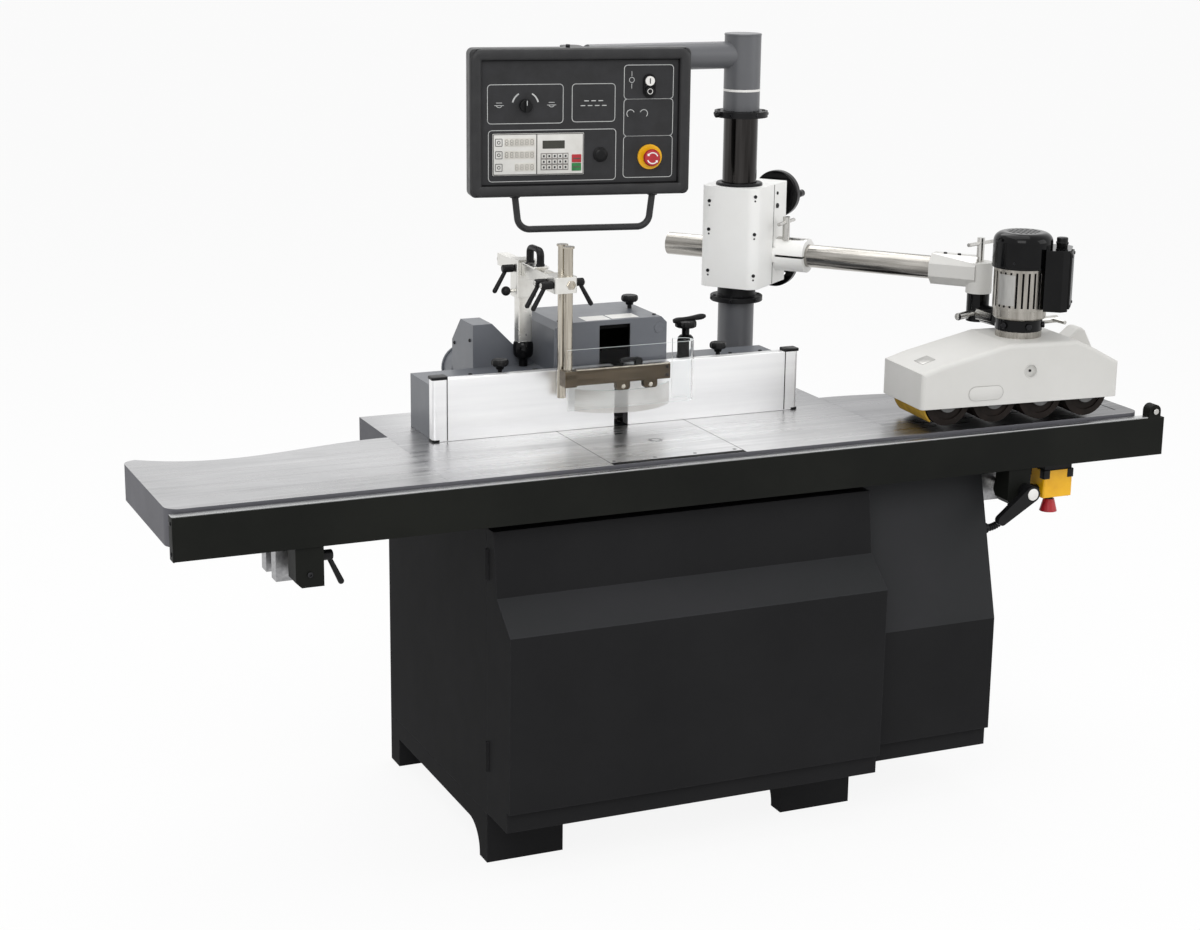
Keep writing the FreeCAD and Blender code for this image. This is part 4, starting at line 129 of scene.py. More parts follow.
def add_node(tree, kind, inputs, **options):
    node = tree.nodes.new(kind)
    for key, value in options.items():
        setattr(node, key, value)
    for key, value in inputs.items():
        feed(tree, node.inputs[key], value)
    return node


class Surface:
    """One procedural material, its nodes added a few at a time."""

    def __init__(self, name, colour, rough, metal=0, specular=0.5):
        self.material = bpy.data.materials.new(name)
        self.material.use_nodes = True
        self.tree = self.material.node_tree
        self.shader = self.tree.nodes["Principled BSDF"]
        self.colour = linear(colour)
        self.normal = None
        self.rough = rough
        self.set("Base Color", self.colour).set("Roughness", rough)
        self.set("Metallic", metal).set("Specular IOR Level", specular)

    def add(self, kind, inputs, **options):
        return add_node(self.tree, kind, inputs, **options)

    def set(self, socket, value):
        feed(self.tree, self.shader.inputs[socket], value)
        return self

    def noise(self, scale, detail=5, stretch=EVEN, lift=0):
        place = self.add("ShaderNodeTexCoord", {}).outputs["Object"]
        if stretch != EVEN or lift:
            place = self.add("ShaderNodeMapping", {"Vector": place, "Scale": stretch,
                                                   "Location": (lift, lift, lift)}).outputs["Vector"]
        node = self.add("ShaderNodeTexNoise", {"Vector": place, "Scale": scale, "Detail": detail,
                                               "Roughness": 0.6})
        return node.outputs["Fac"]

    def ramp(self, value, low, high, to_low, to_high):
        node = self.add("ShaderNodeMapRange", {"Value": value, "From Min": low, "From Max": high,
                                               "To Min": to_low, "To Max": to_high})
        return node.outputs["Result"]

    def tone(self, other, share):
        """Mixes another colour into the base by a share that a texture gives."""
        mix = self.add("ShaderNodeMix", {0: share, 6: self.colour, 7: linear(other)}, data_type="RGBA")
        self.colour = mix.outputs[2]
        return self.set("Base Color", self.colour)

    def cloud(self, other, scale, low=0.35, high=0.7, most=1, stretch=EVEN, lift=0):
        return self.tone(other, self.ramp(self.noise(scale, 6, stretch, lift), low, high, 0, most))

    def vary(self, amount, scale, stretch=EVEN):
        """Roughness that changes over the surface."""
        return self.set("Roughness", self.ramp(self.noise(scale, 4, stretch, 3), 0.3, 0.7,
                                               max(self.rough - amount, 0.02), self.rough + amount))

    def edges(self, other, width, most=0.8):
        """Rounded, slightly worn edges."""
        bevel = self.add("ShaderNodeBevel", {"Radius": width * MM}, samples=4)
        true = self.add("ShaderNodeNewGeometry", {}).outputs["Normal"]
        dot = self.add("ShaderNodeVectorMath", {0: bevel.outputs["Normal"], 1: true},
                       operation="DOT_PRODUCT").outputs["Value"]
        worn = self.ramp(dot, 0.97, 0.75, 0, most)
        speck = self.ramp(self.noise(60, 6, lift=7), 0.35, 0.6, 0.25, 1)
        share = self.add("ShaderNodeMath", {0: worn, 1: speck}, operation="MULTIPLY").outputs[0]
        self.normal = bevel.outputs["Normal"]
        self.set("Normal", self.normal)
        return self.tone(other, share)

    def bump(self, scale, strength, depth=0.2, detail=3, stretch=EVEN):
        inputs = {"Height": self.noise(scale, detail, stretch, 11), "Strength": strength,
                  "Distance": depth * MM}
        if self.normal is not None:
            inputs["Normal"] = self.normal
        self.normal = self.add("ShaderNodeBump", inputs).outputs["Normal"]
        return self.set("Normal", self.normal)


def paint(name, colour, other, rough, specular=0.4, worn=None, width=1.6, grain=700, strength=0.18,
          drift=0.03):
    """Powder coat or enamel: slow colour drift, orange peel, rubbed edges."""
    s = Surface(name, colour, rough, 0, specular)
    s.cloud(other, 3)
    s.vary(drift, 18)
    if worn:
        s.edges(worn, width)
    s.bump(grain, strength)
    return s.material


def metal(name, colour, other, rough, stretch=EVEN, scale=60, bump=0.06, worn=None):
    """Bright or dark metal with fine working marks along one way; on the feeder arm the dark streaks are
    painted reflection.
    """
    s = Surface(name, colour, rough, 1)
    s.cloud(other, scale, 0.3, 0.75, 1, stretch)
    s.vary(0.06, scale * 2, stretch)
    if worn:
        s.edges(worn, 1)
    s.bump(scale * 6, bump, 0.1, 2, stretch)
    return s.material


def plastic(name, colour, other, rough, specular=0.5, grain=1500, strength=0.12, worn=None):
    s = Surface(name, colour, rough, 0, specular)
    s.cloud(other, 25)
    s.vary(0.06, 40)
    if worn:
        s.edges(worn, 0.8)
    s.bump(grain, strength, 0.1)
    return s.material


def ground_iron(name, colour, pale, dark, bright, *reflection_falls):
    """Ground cast iron: long grinding streaks, a few stains, and painted reflection: large pale patches and a
    slow drift of tone along its length.
    """
    s = Surface(name, colour, 0.3, 1)
    # painted reflection: large pale patches
    s.cloud(pale, 1.1, 0.38, 0.62, 1, (1, 1.6, 1), 2.3)
    # painted reflection: tone falls to another colour along X between the given places
    for start, end, other in reflection_falls:
        place = s.add("ShaderNodeTexCoord", {}).outputs["Object"]
        along = s.add("ShaderNodeSeparateXYZ", {"Vector": place}).outputs["X"]
        s.tone(other, s.ramp(along, start, end, 0, 1))
    s.cloud(dark, 26, 0.5, 0.8, 0.75, (0.05, 1, 1))
    s.cloud(bright, 60, 0.55, 0.85, 0.7, (0.03, 1, 1), 5)
    s.cloud("6f6d6a", 9, 0.62, 0.85, 0.3, (0.5, 1, 1), 9)
    s.vary(0.08, 40, (0.05, 1, 1))
    s.edges("f2f2f2", 1, 0.5)
    s.bump(420, 0.10, 0.05, 2, (0.03, 1, 1))
    return s.material


def clear_sheet():
    s = Surface("clear_sheet", "ffffff", 0.02, 0, 0.4)
    s.set("Transmission Weight", 1)
    s.set("IOR", 1.15)
    s.cloud("fafcfc", 14)
    s.bump(60, 0.02, 0.05)
    return s.material


def clear_edge():
    """Sawn edge of the clear sheet, which gathers light."""
    s = Surface("clear_edge", "e6ecec", 0.35, 0)
    s.set("Transmission Weight", 0.3)
    s.cloud("cfd8d9", 30)
    s.bump(300, 0.1, 0.1)
    return s.material


def milky_sheet():
    """Rubbed clear plastic of the curved shoe."""
    s = Surface("milky_sheet", "f1f0ee", 0.28, 0, 0.3)
    s.set("Transmission Weight", 0.72)
    s.set("IOR", 1.15)
    s.cloud("c9c5bf", 30, 0.45, 0.75, 0.8, (0.15, 0.15, 1.4))
    s.bump(90, 0.2, 0.2, 3, (0.1, 0.1, 1))
    return s.material


def glossy_black():
    s = Surface("glossy_black", "050506", 0.12, 0, 0.12)
    s.cloud("0c0c0d", 20)
    s.set("Coat Weight", 0.1)
    s.set("Coat Roughness", 0.05)
    s.edges("232325", 1)
    s.bump(200, 0.05, 0.1)
    return s.material


M = {
    "cabinet": paint("cabinet_black", "1e1e1f", "222223", 0.55, 0.05, "48484b", 2.4, drift=0.012),
    # painted shade: a darker copy of the cabinet black for faces turned to the left
    "cabinet_painted_shade": paint("cabinet_black_painted_shade", "161617", "1a1a1b", 0.55, 0.02, "3c3c3f", 2.4, drift=0.012),
    # painted highlight: a lighter copy of the cabinet black for bevels that slope upward
    "cabinet_painted_highlight": paint("cabinet_black_painted_highlight", "292a2b", "2d2d2f", 0.5, 0.1, "505054", 2.4, drift=0.012),
    # painted shade: near-black for inside faces and recesses that stand in shade, also used for dark joints
    # and seams
    "dark_joint_and_shade": paint("dark_joint_and_painted_shade_black", "0b0b0c", "101011", 0.7, 0.1),
    "rail": paint("rail_black", "141513", "1c1d1a", 0.52, 0.08, "303030", 1.2, 1400, 0.35),
    # painted reflection: the centre top is brightest in the middle and darker toward both ends
    "ground": ground_iron("ground_iron", "cacacb", "e4e4e4", "a4a4a5", "f4f4f3",
                          (0.2, 0.58, "8e8e90"), (-0.3, -0.55, "a8a8aa")),
    # painted shade: the wings are darker copies of the same ground iron, the right one darkest toward its far
    # end under the feeder
    "ground_left_painted_shade": ground_iron("ground_iron_left_painted_shade", "a3a3a4", "b9b9ba", "88888a", "cfcfcf"),
    "ground_right_painted_shade": ground_iron("ground_iron_right_painted_shade", "868688", "949496", "5c5c5e", "b2b2b2",
                                (0.6, 1.05, "68686a")),
    "cast": paint("cast_grey", "55555a", "626267", 0.6, 0.3, "7a7a7f", 2.5, 260, 0.4),
    "fence": metal("fence_alu", "fbfbfb", "f0f0f1", 0.4, (0.04, 1, 1), 40, 0.05, "ffffff"),
    "hood": paint("hood_grey", "5b5e64", "64676d", 0.36, 0.5, "7b7e84", 2.2, 420, 0.25),
    "black_metal": paint("black_metal", "101011", "18181a", 0.4, 0.18, "2e2e30", 1),
    "black_plastic": plastic("black_plastic", "0e0e0f", "151516", 0.38, 0.18, worn="28282a"),
    "steel": metal("bright_steel", "d6d5d2", "a9a7a3", 0.22, (1, 1, 0.06)),
    "strip": metal("rail_strip", "d3d4d4", "adaeae", 0.26, (0.03, 1, 1)),
    "nickel": metal("nickel", "cbc5b9", "948c7f", 0.2, (1, 1, 0.05), 90),
    "beam": metal("beam_nickel", "e6e5e1", "d8d6d0", 0.32, (1, 0.08, 1), 30, 0.04, "f8f8f6"),
    "machined": metal("machined_iron", "a9a9aa", "828284", 0.36, EVEN, 120),
    "chrome": metal("dark_chrome", "434140", "1c1a19", 0.16, (1, 1, 0.04), 60),
    # painted reflection: dark streaks along the feeder arm stand in for the dark bands a chrome tube reflects
    "arm": metal("arm_chrome_painted_reflection", "c2bfb9", "5a5650", 0.2, (0.06, 0.06, 1), 90),
    "column": paint("column_grey", "57585b", "606164", 0.34, 0.45, "77787b", 1.5, 500, 0.12),
    "white": paint("white_paint", "d1d0cd", "c8c7c3", 0.45, 0.35, "e8e8e5", 2, 520, 0.22),
    "bracket": paint("bracket_white", "f8f8f6", "efeeeb", 0.42, 0.4, "ffffff", 2, 520, 0.2),
    "bar": metal("bar_steel", "6a5f50", "3d352c", 0.34, (0.08, 1, 1), 80, 0.12, "b7aa96"),
    "clear": clear_sheet(),
    "clear_edge": clear_edge(),
    "milky": milky_sheet(),
    "yellow": plastic("yellow_plastic", "f2b705", "e3a600", 0.36, worn="f8cb3c"),
    "red": plastic("red_plastic", "b3202b", "9c1a25", 0.34, worn="cc4650"),
    "face": plastic("panel_face", "2b2b2c", "323234", 0.55, 0.2, 2600, 0.3),
    "frame": plastic("panel_frame", "2a2a2b", "323233", 0.42, 0.25, 1800, 0.25, "4a4a4c"),
    "print": plastic("print_white", "c4c5c4", "aeb0af", 0.6, 0.2),
    "key_field": plastic("key_field", "93918d", "827f7b", 0.5, 0.25),
    "keypad": plastic("keypad_white", "dad9d5", "cdcbc6", 0.45, 0.35),
    "window": plastic("display_window", "d4d1ca", "c4c1b9", 0.3, 0.4),
    "digit": plastic("display_digit", "5d5850", "4e4a43", 0.5, 0.3),
    "lcd": plastic("lcd_glass", "2a2a24", "35352c", 0.15, 0.5),
    "green": plastic("green_plastic", "1f7a3c", "186733", 0.4),
    "button_white": plastic("white_plastic", "ecebe8", "dedcd8", 0.35),
    "grey_plastic": plastic("grey_plastic", "3a3a3b", "2e2e2f", 0.5, 0.25),
    "rubber": plastic("roller_rubber", "231c19", "120f0c", 0.62, 0.15, 500, 0.4),
    "cap": metal("hub_cap", "6e6e6e", "4a4a4a", 0.4),
    "alloy": metal("motor_alloy", "b4b0a9", "85817a", 0.3, (1, 1, 0.1), 80, 0.1, "e8e5df"),
    "gloss": glossy_black(),
    "belt": plastic("belt_rubber", "161616", "1f1f1f", 0.7, 0.15),
    "motor_paint": paint("motor_paint", "43484c", "4d5257", 0.45, 0.4, "6a7074"),
    "conduit": plastic("conduit_black", "0c0c0d", "141415", 0.45, 0.2),
    "brush": plastic("yellow_brush", "c9a23c", "94752a", 0.7, 0.15, 500, 0.5),
    "screw": metal("screw_dark", "3a3a3c", "232324", 0.35),
    "plate": metal("bare_plate", "b9b8b5", "a3a29f", 0.42, (1, 1, 0.2), 60),
}


def cad(node, key, *rules):
    """Gives a node its material, and other materials to the faces that a rule picks."""
    data = NODES[node].data
    data.materials.clear()
    data.materials.append(M[key])
    for other, _ in rules:
        data.materials.append(M[other])
    for face in data.polygons:
        at = face.center / MM
        face.material_index = 0
        for index, (_, test) in enumerate(rules, 1):
            if test(at, face.normal):
                face.material_index = index
                break


def local(at, place):
    return place.inverted() @ at


def from_motor(p):
    return local(p, MOTOR_AT).xy.length


def arc(centre, radius, degrees):
    """Points of a circle at some angles."""
    turns = [math.radians(a) for a in degrees]
    return [(centre[0] + radius * math.cos(a), centre[1] + radius * math.sin(a)) for a in turns]


def ring(count):
    """Points of a circle of radius one."""
    return arc((0, 0), 1, [360 * i / count for i in range(count)])


def around(degrees):
    """A level direction."""
    return Vector((*arc((0, 0), 1, [degrees])[0], 0))


def rounded_box(u0, u1, v0, v1, corner, steps=5):
    """Points of a rectangle with round corners."""
    points = []
    for cx, cy, start in ((u1 - corner, v1 - corner, 0), (u0 + corner, v1 - corner, 90),
                          (u0 + corner, v0 + corner, 180), (u1 - corner, v0 + corner, 270)):
        points += arc((cx, cy), corner, [start + 90 * i / steps for i in range(steps + 1)])
    return points


def basis(origin, axis):
    """A frame whose Z runs along an axis from a point."""
    return Matrix.Translation(origin) @ Vector(axis).to_track_quat("Z", "Y").to_matrix().to_4x4()


class Piece:
    """A visible piece built from closed lofts, in millimetres in the part's frame."""

    def __init__(self, name, body, slot, *materials, at=None):
        self.name = name
        self.body = body
        self.slot = slot
        self.materials = [M[m] for m in materials]
        self.mesh = bmesh.new()
        self.at = at or Matrix.Identity(4)

    def loft(self, rings, mat=0, wrap=False, at=None):
        place = self.at if at is None else self.at @ at
        made = [[self.mesh.verts.new(place @ Vector(p)) for p in points] for points in rings]
        count = len(made[0])
        pairs = list(zip(made, made[1:]))
        if wrap:
            pairs.append((made[-1], made[0]))
        faces = []
        for a, b in pairs:
            for i in range(count):
                j = (i + 1) % count
                faces.append(self.mesh.faces.new((a[i], a[j], b[j], b[i])))
        if not wrap:
            faces.append(self.mesh.faces.new(list(reversed(made[0]))))
            faces.append(self.mesh.faces.new(made[-1]))
        for face in faces:
            face.material_index = mat
            face.smooth = True
        return self

    def lathe(self, profile, origin, axis, mat=0, count=ROUND, waves=0, depth=0, hollow=False):
        """Turns a profile of radius and height about an axis.

        Waves scallop its rim, and a hollow one closes on itself as a ring.
        """
        rings = []
        for radius, height in profile:
            points = []
            for i in range(count):
                a = 2 * math.pi * i / count
                r = radius - (depth * radius * (0.5 + 0.5 * math.cos(waves * a)) if waves else 0)
                points.append((r * math.cos(a), r * math.sin(a), height))
            rings.append(points)
        return self.loft(rings, mat, hollow, basis(origin, axis))

    def rod(self, start, end, radius, mat=0, soft=0, count=ROUND):
        way = Vector(end) - Vector(start)
        long = way.length
        profile = [(radius, 0), (radius, long)]
        if soft:
            some = 0.3 * soft
            profile = [(radius - soft, 0), (radius - some, some), (radius, soft), (radius, long - soft),
                       (radius - some, long - some), (radius - soft, long)]
        return self.lathe(profile, start, way, mat, count)

    def slab(self, u0, u1, v0, v1, w0, w1, corner=1, soft=0.5, mat=0, at=None):
        """A block with rounded corners in its own X and Y, and softened ends along Z."""
        some = 0.3 * soft
        rings = []
        for inset, w in ((soft, w0), (some, w0 + some), (0, w0 + soft), (0, w1 - soft),
                         (some, w1 - some), (soft, w1)):
            edge = rounded_box(u0 + inset, u1 - inset, v0 + inset, v1 - inset, max(corner - inset, 0.05))
            rings.append([(x, y, w) for x, y in edge])
        return self.loft(rings, mat, at=at)

    def outline(self, u0, u1, v0, v1, corner, width, w0, w1, mat=0, at=None):
        """A closed frame of a given width round a rounded rectangle."""
        outer = rounded_box(u0, u1, v0, v1, corner)
        inner = rounded_box(u0 + width, u1 - width, v0 + width, v1 - width, max(corner - width, 0.1))
        rings = [[(x, y, w) for x, y in points]
                 for points, w in ((outer, w0), (outer, w1), (inner, w1), (inner, w0))]
        return self.loft(rings, mat, wrap=True, at=at)

    def bead(self, u, v, corner, across, high, w, mat=0, steps=6, count=16):
        """A rounded bead on a rectangle of half sides u and v."""
        rings = []
        for i in range(4 * (steps + 1)):
            quarter, step = divmod(i, steps + 1)
            way = around(90 * quarter + 90 * step / steps)
            centre = Vector(((u - corner) * (1 if quarter in (0, 3) else -1),
                             (v - corner) * (1 if quarter < 2 else -1), w))
            rings.append([centre + way * (corner + across * c) + Z * high * s for c, s in ring(count)])
        return self.loft(rings, mat, wrap=True)

    def band(self, centre, radius, width, start, end, w0, w1, mat=0, steps=14):
        """A flat arc of a given width, with square ends."""
        rings = []
        for i in range(steps + 1):
            way = around(start + (end - start) * i / steps)
            near = radius - width / 2
            far = radius + width / 2
            rings.append([(centre[0] + r * way.x, centre[1] + r * way.y, w)
                          for r, w in ((near, w0), (far, w0), (far, w1), (near, w1))])
        return self.loft(rings, mat)

    def tube(self, points, radius, mat=0, count=16, at=None):
        """A round bar through points, its radius a number or one per point."""
        radii = radius if isinstance(radius, list) else [radius] * len(points)
        points = [Vector(p) for p in points]
        rings = []
        side = None
        for i, p in enumerate(points):
            way = (points[min(i + 1, len(points) - 1)] - points[max(i - 1, 0)]).normalized()
            if side is None:
                side = way.orthogonal().normalized()
            side = (side - way * side.dot(way)).normalized()
            up = way.cross(side)
            rings.append([p + (side * x + up * y) * radii[i] for x, y in ring(count)])
        return self.loft(rings, mat, at=at)

    def socket_screw(self, origin, axis, radius, mat=0):
        """A socket head with a sunk hexagon."""
        high = radius * 0.7
        sides = 24
        rings = []
        for r, h, hexed in ((radius, 0, False), (radius, high * 0.8, False), (radius * 0.85, high, False),
                            (radius * 0.5, high, True), (radius * 0.5, high * 0.35, True)):
            points = []
            for i in range(sides):
                a = 2 * math.pi * i / sides
                k = r
                if hexed:
                    k = r * math.cos(math.pi / 6) / math.cos((a % (math.pi / 3)) - math.pi / 6)
                points.append((k * math.cos(a), k * math.sin(a), h))
            rings.append(points)
        return self.loft(rings, mat, at=basis(origin, axis))

    def done(self, *replaces, sharp=32):
        bmesh.ops.recalc_face_normals(self.mesh, faces=self.mesh.faces)
        self.mesh.transform(Matrix.Scale(MM, 4))
        data = bpy.data.meshes.new(self.name)
        self.mesh.to_mesh(data)
        self.mesh.free()
        for material in self.materials:
            data.materials.append(material)
        data.set_sharp_from_angle(angle=math.radians(sharp))
        made = bpy.data.objects.new(self.name, data)
        SCENE.collection.objects.link(made)
        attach(made, self.body)
        if replaces:
            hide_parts(*replaces)
        return made


# Camera at the photograph's place
def make_camera():
    azimuth, elevation, roll = (math.radians(a) for a in CAMERA_TURNS)
    back = Vector((math.sin(azimuth) * math.cos(elevation), -math.cos(azimuth) * math.cos(elevation),
                   math.sin(elevation)))
    level = (-back).cross(Z).normalized()
    up = level.cross(-back)
    across = math.cos(roll) * level + math.sin(roll) * up
    upward = -math.sin(roll) * level + math.cos(roll) * up
    data = bpy.data.cameras.new("camera")
    data.sensor_width = SENSOR
    data.lens = SENSOR * FOCAL_PX / PHOTO_PX
    data.clip_end = 200.0
    made = bpy.data.objects.new("camera", data)
    turn = Matrix((across, upward, back)).transposed().to_4x4()
    made.matrix_world = Matrix.Translation(CAMERA_AT) @ turn
    SCENE.collection.objects.link(made)
    SCENE.camera = made


# Ribbed conduit of the low stop box, on the route's own smooth line
def spline_points(route, count):
    curve = bpy.data.curves.new("route", "CURVE")
    curve.dimensions = "3D"
    curve.resolution_u = count
    line = curve.splines.new("NURBS")
    line.points.add(len(route) - 1)
    for point, place in zip(line.points, route):
        point.co = (*place, 1.0)
    line.order_u = 3
    line.use_endpoint_u = True
    holder = bpy.data.objects.new("route", curve)
    SCENE.collection.objects.link(holder)
    bpy.context.view_layer.update()
    mesh = bpy.data.meshes.new_from_object(holder.evaluated_get(bpy.context.evaluated_depsgraph_get()))
    points = [v.co.copy() for v in mesh.vertices]
    bpy.data.objects.remove(holder)
    bpy.data.curves.remove(curve)
    bpy.data.meshes.remove(mesh)
    return points


def conduit():
    line = spline_points(CONDUIT_ROUTE, 60)
    far = [0.0]
    for a, b in zip(line, line[1:]):
        far.append(far[-1] + (b - a).length)
    total = far[-1]

    def along(distance):
        for i in range(len(far) - 1):
            if distance <= far[i + 1]:
                share = (distance - far[i]) / (far[i + 1] - far[i])
                return line[i].lerp(line[i + 1], share)
        return line[-1].copy()

    pitch = total / CONDUIT_RIBS
    points = []
    radii = []
    for rib in range(CONDUIT_RIBS):
        for share, radius in RIB:
            points.append(along((rib + share) * pitch))
            radii.append(radius)
    points.append(along(total))
    radii.append(CONDUIT_ROOT_R)
    piece = Piece("conduit_ribbed", "machine", "conduit", "conduit")
    piece.tube(points, radii, count=28)
    made = piece.done("stop_conduit", sharp=60.0)


# Solids of one look, by material
PLAIN = {
    "ground": "table_insert",
    "strip": "rail_strip",
    "machined": "rail_blocks lift_ways lift_screw spindle_housing",
    "black_plastic": "rail_lever_left rail_lever_right head_lever rod_levers panel_selector",
    "steel": "spindle_shaft motor_pulley",
    "motor_paint": "drive_motor",
    "belt": "drive_belt",
    "hood": "dust_chute",
    "fence": "fence_plate_left fence_plate_right",
    "beam": "guard_beam",
    "nickel": "rod_left rod_right",
    "column": "column_base panel_arm",
    "gloss": "lift_handwheel arm_handwheel",
    "arm": "feeder_arm",
    "button_white": "start_button",
}


def cad_looks():
    for key, nodes in PLAIN.items():
        for node in nodes.split():
            cad(node, key)
    for node, key in (("centre_table", "ground"), ("left_wing", "ground_left_painted_shade"),
                      ("right_wing", "ground_right_painted_shade")):
        cad(node, "cast", (key, lambda p, n: n.z > 0.9 and p.z > TABLE_TOP - 1))
    # Faces turned to the left get the cabinet black with painted shade.
    cad("cabinet_base", "cabinet", ("cabinet_painted_shade", faces_left))
    cad("cabinet_body", "cabinet",
        ("cabinet_painted_shade", lambda p, n: faces_left(p, n) and p.x < -430),
        # painted shade: near-black on the cabinet's inside faces
        ("dark_joint_and_shade", lambda p, n: -429 < p.x < 478 and -315 < p.y < 342 and p.z < 819))
    # Upward-sloping bevels of the door and the side cabinet get the cabinet black with painted highlight.
    cad("front_door", "cabinet", ("cabinet_painted_shade", faces_left), ("cabinet_painted_highlight", lambda p, n: 0.4 < n.z < 0.95))
    cad("side_cabinet", "cabinet", ("cabinet_painted_highlight", lambda p, n: 0.2 < n.z < 0.95))
    cad("front_rail", "rail", ("steel", lambda p, n: p.y > -322.0))
    cad("stop_box", "yellow", ("black_plastic", lambda p, n: p.z > 772.2 or p.x < 963.5))
    cad("stop_box_button", "red", ("black_plastic", lambda p, n: p.z > 694.5))
    cad("hood_body", "hood",
        # painted shade: near-black on the inside faces of the hood and chute
        ("dark_joint_and_shade", lambda p, n: -142 < p.x < 126 and 1.0 < p.y < 193 and p.z < 1131),
        ("dark_joint_and_shade", lambda p, n: -445 < p.x < 433 and -8 < p.y < 115 and p.z < 1017))
    cad("guard_head", "beam", ("black_plastic", lambda p, n: p.x < -216))
    cad("press_bar", "bar", ("black_plastic", lambda p, n: p.z > 1054.5))
    cad("clear_guard", "clear",
        ("milky", lambda p, n: p.z < 965.5 or (p.y > -118 and p.x < 112 and abs(n.z) < 0.5)),
        ("clear_edge", lambda p, n: abs(n.z) > 0.9))
    cad("column_tube", "chrome", ("black_metal", lambda p, n: (p.xy - Vector(COLUMN)).length > 43))
    cad("stand_bracket", "bracket", ("steel", lambda p, n: p.z > 1254 and local(p, STAND_AT).x > 90),
        ("dark_joint_and_shade", bracket_gaps))
    cad("swivel_elbow", "white", ("steel", lambda p, n: p.z > 1240.5 and local(p, STAND_AT).x > 545))
    cad("swivel_joint", "gloss", ("steel", joint_screws))
    cad("feeder_body", "white", ("alloy", lambda p, n: p.z > 1089.5))
    cad("feeder_motor", "alloy", ("gloss", lambda p, n: p.z > 1252.2 and from_motor(p) < 69.4),
        ("gloss", lambda p, n: p.z > 1156.5 and from_motor(p) > 64.1),
        # painted shade: near-black between the motor's fins
        ("dark_joint_and_shade", lambda p, n: 1157 < p.z < 1251 and from_motor(p) < 63.2))
    for i in range(1, 5):
        cad("feeder_roller_%d" % i, "rubber", ("cap", roller_cap))
    cad("panel_case", "frame", ("yellow", stop_collar),
        ("black_plastic", lambda p, n: abs(local(p, PANEL_AT).x) < 200 and local(p, PANEL_AT).y < -0.2),
        ("face", lambda p, n: abs(local(p, PANEL_AT).y) < 0.1))


# Tests that pick faces of a solid by a point and a normal
def bracket_gaps(p, n):
    at = local(p, STAND_AT)
    seam = 42.4 < at.y < 45.6 and 72 < abs(at.x) < 76.1
    return seam or (84 < at.x < 157 and 1213.4 < p.z < 1218.6 and at.y < 78)


def stop_collar(p, n):
    at = local(p, PANEL_AT)
    return (at.xz - Vector(PANEL_STOP)).length < 29.2 and at.y < -0.1


def joint_screws(p, n):
    if from_motor(p) > 56.5 and local(p, MOTOR_AT).x > 0:
        return True
    elbow = (local(p, STAND_AT).xy - Vector((597, 80))).length
    return elbow > 28.5 and from_motor(p) > elbow + 60 and p.z < 1130


def faces_left(p, n):
    return n.x < -0.9


def roller_cap(p, n):
    return local(p, FEED_AT).y < 17.5


def panel_signs():
    sign = Piece("panel_print", "panel", "keypad", "print", at=PANEL_FACE)
    for u0, u1, w0, w1 in ((-221, -41, -2, 89), (-21, 83, 0, 89), (-219, 86, -136, -16)):
        sign.outline(u0, u1, w0, w1, 9, 1.5, *PRINT)
    for w0, w1 in ((51, 131), (-35, 52.5), (-132, -33.5)):
        sign.outline(103, 223, w0, w1, 9, 1.5, *PRINT)
    for start, end in ((120, 166), (14, 60)):
        sign.band(SELECTOR, 31, 3.4, start, end, *PRINT)
    for side in (-1, 1):
        u = SELECTOR[0] + side * 62
        for half, w in ((11, 40), (7, 46)):
            sign.slab(u - half, u + half, w, w + 1.2, *PRINT, 0.3, 0.05)
        sign.band((u, 43), 7, 1.2, 200, 340, *PRINT)
    for row, count in ((49, 3), (38, 4)):
        for i in range(count):
            u = 31 + (i - (count - 1) / 2) * 17
            sign.slab(u - 5.5, u + 5.5, row - 1, row + 1, *PRINT, 0.4, 0.05)
    sign.band((122, 96), 6, 1.2, 0, 359.9, *PRINT)
    for w in (104, 76):
        sign.slab(121.4, 122.6, w, w + 12, *PRINT, 0.3, 0.05)
    for u, start, end in ((120, 20, 230), (152, 310, 520)):
        sign.band((u, 18), 9, 1.6, start, end, *PRINT)
    sign.done()


def seven_segments(piece, u, w, mat):
    for dw in (-6, 0, 6):
        piece.slab(u - 2.6, u + 2.6, w + dw - 0.6, w + dw + 0.6, 4.3, 4.8, 0.3, 0.1, mat)
    for du in (-3.2, 3.2):
        for dw in (-3, 3):
            piece.slab(u + du - 0.6, u + du + 0.6, w + dw - 2, w + dw + 2, 4.3, 4.8, 0.3, 0.1, mat)


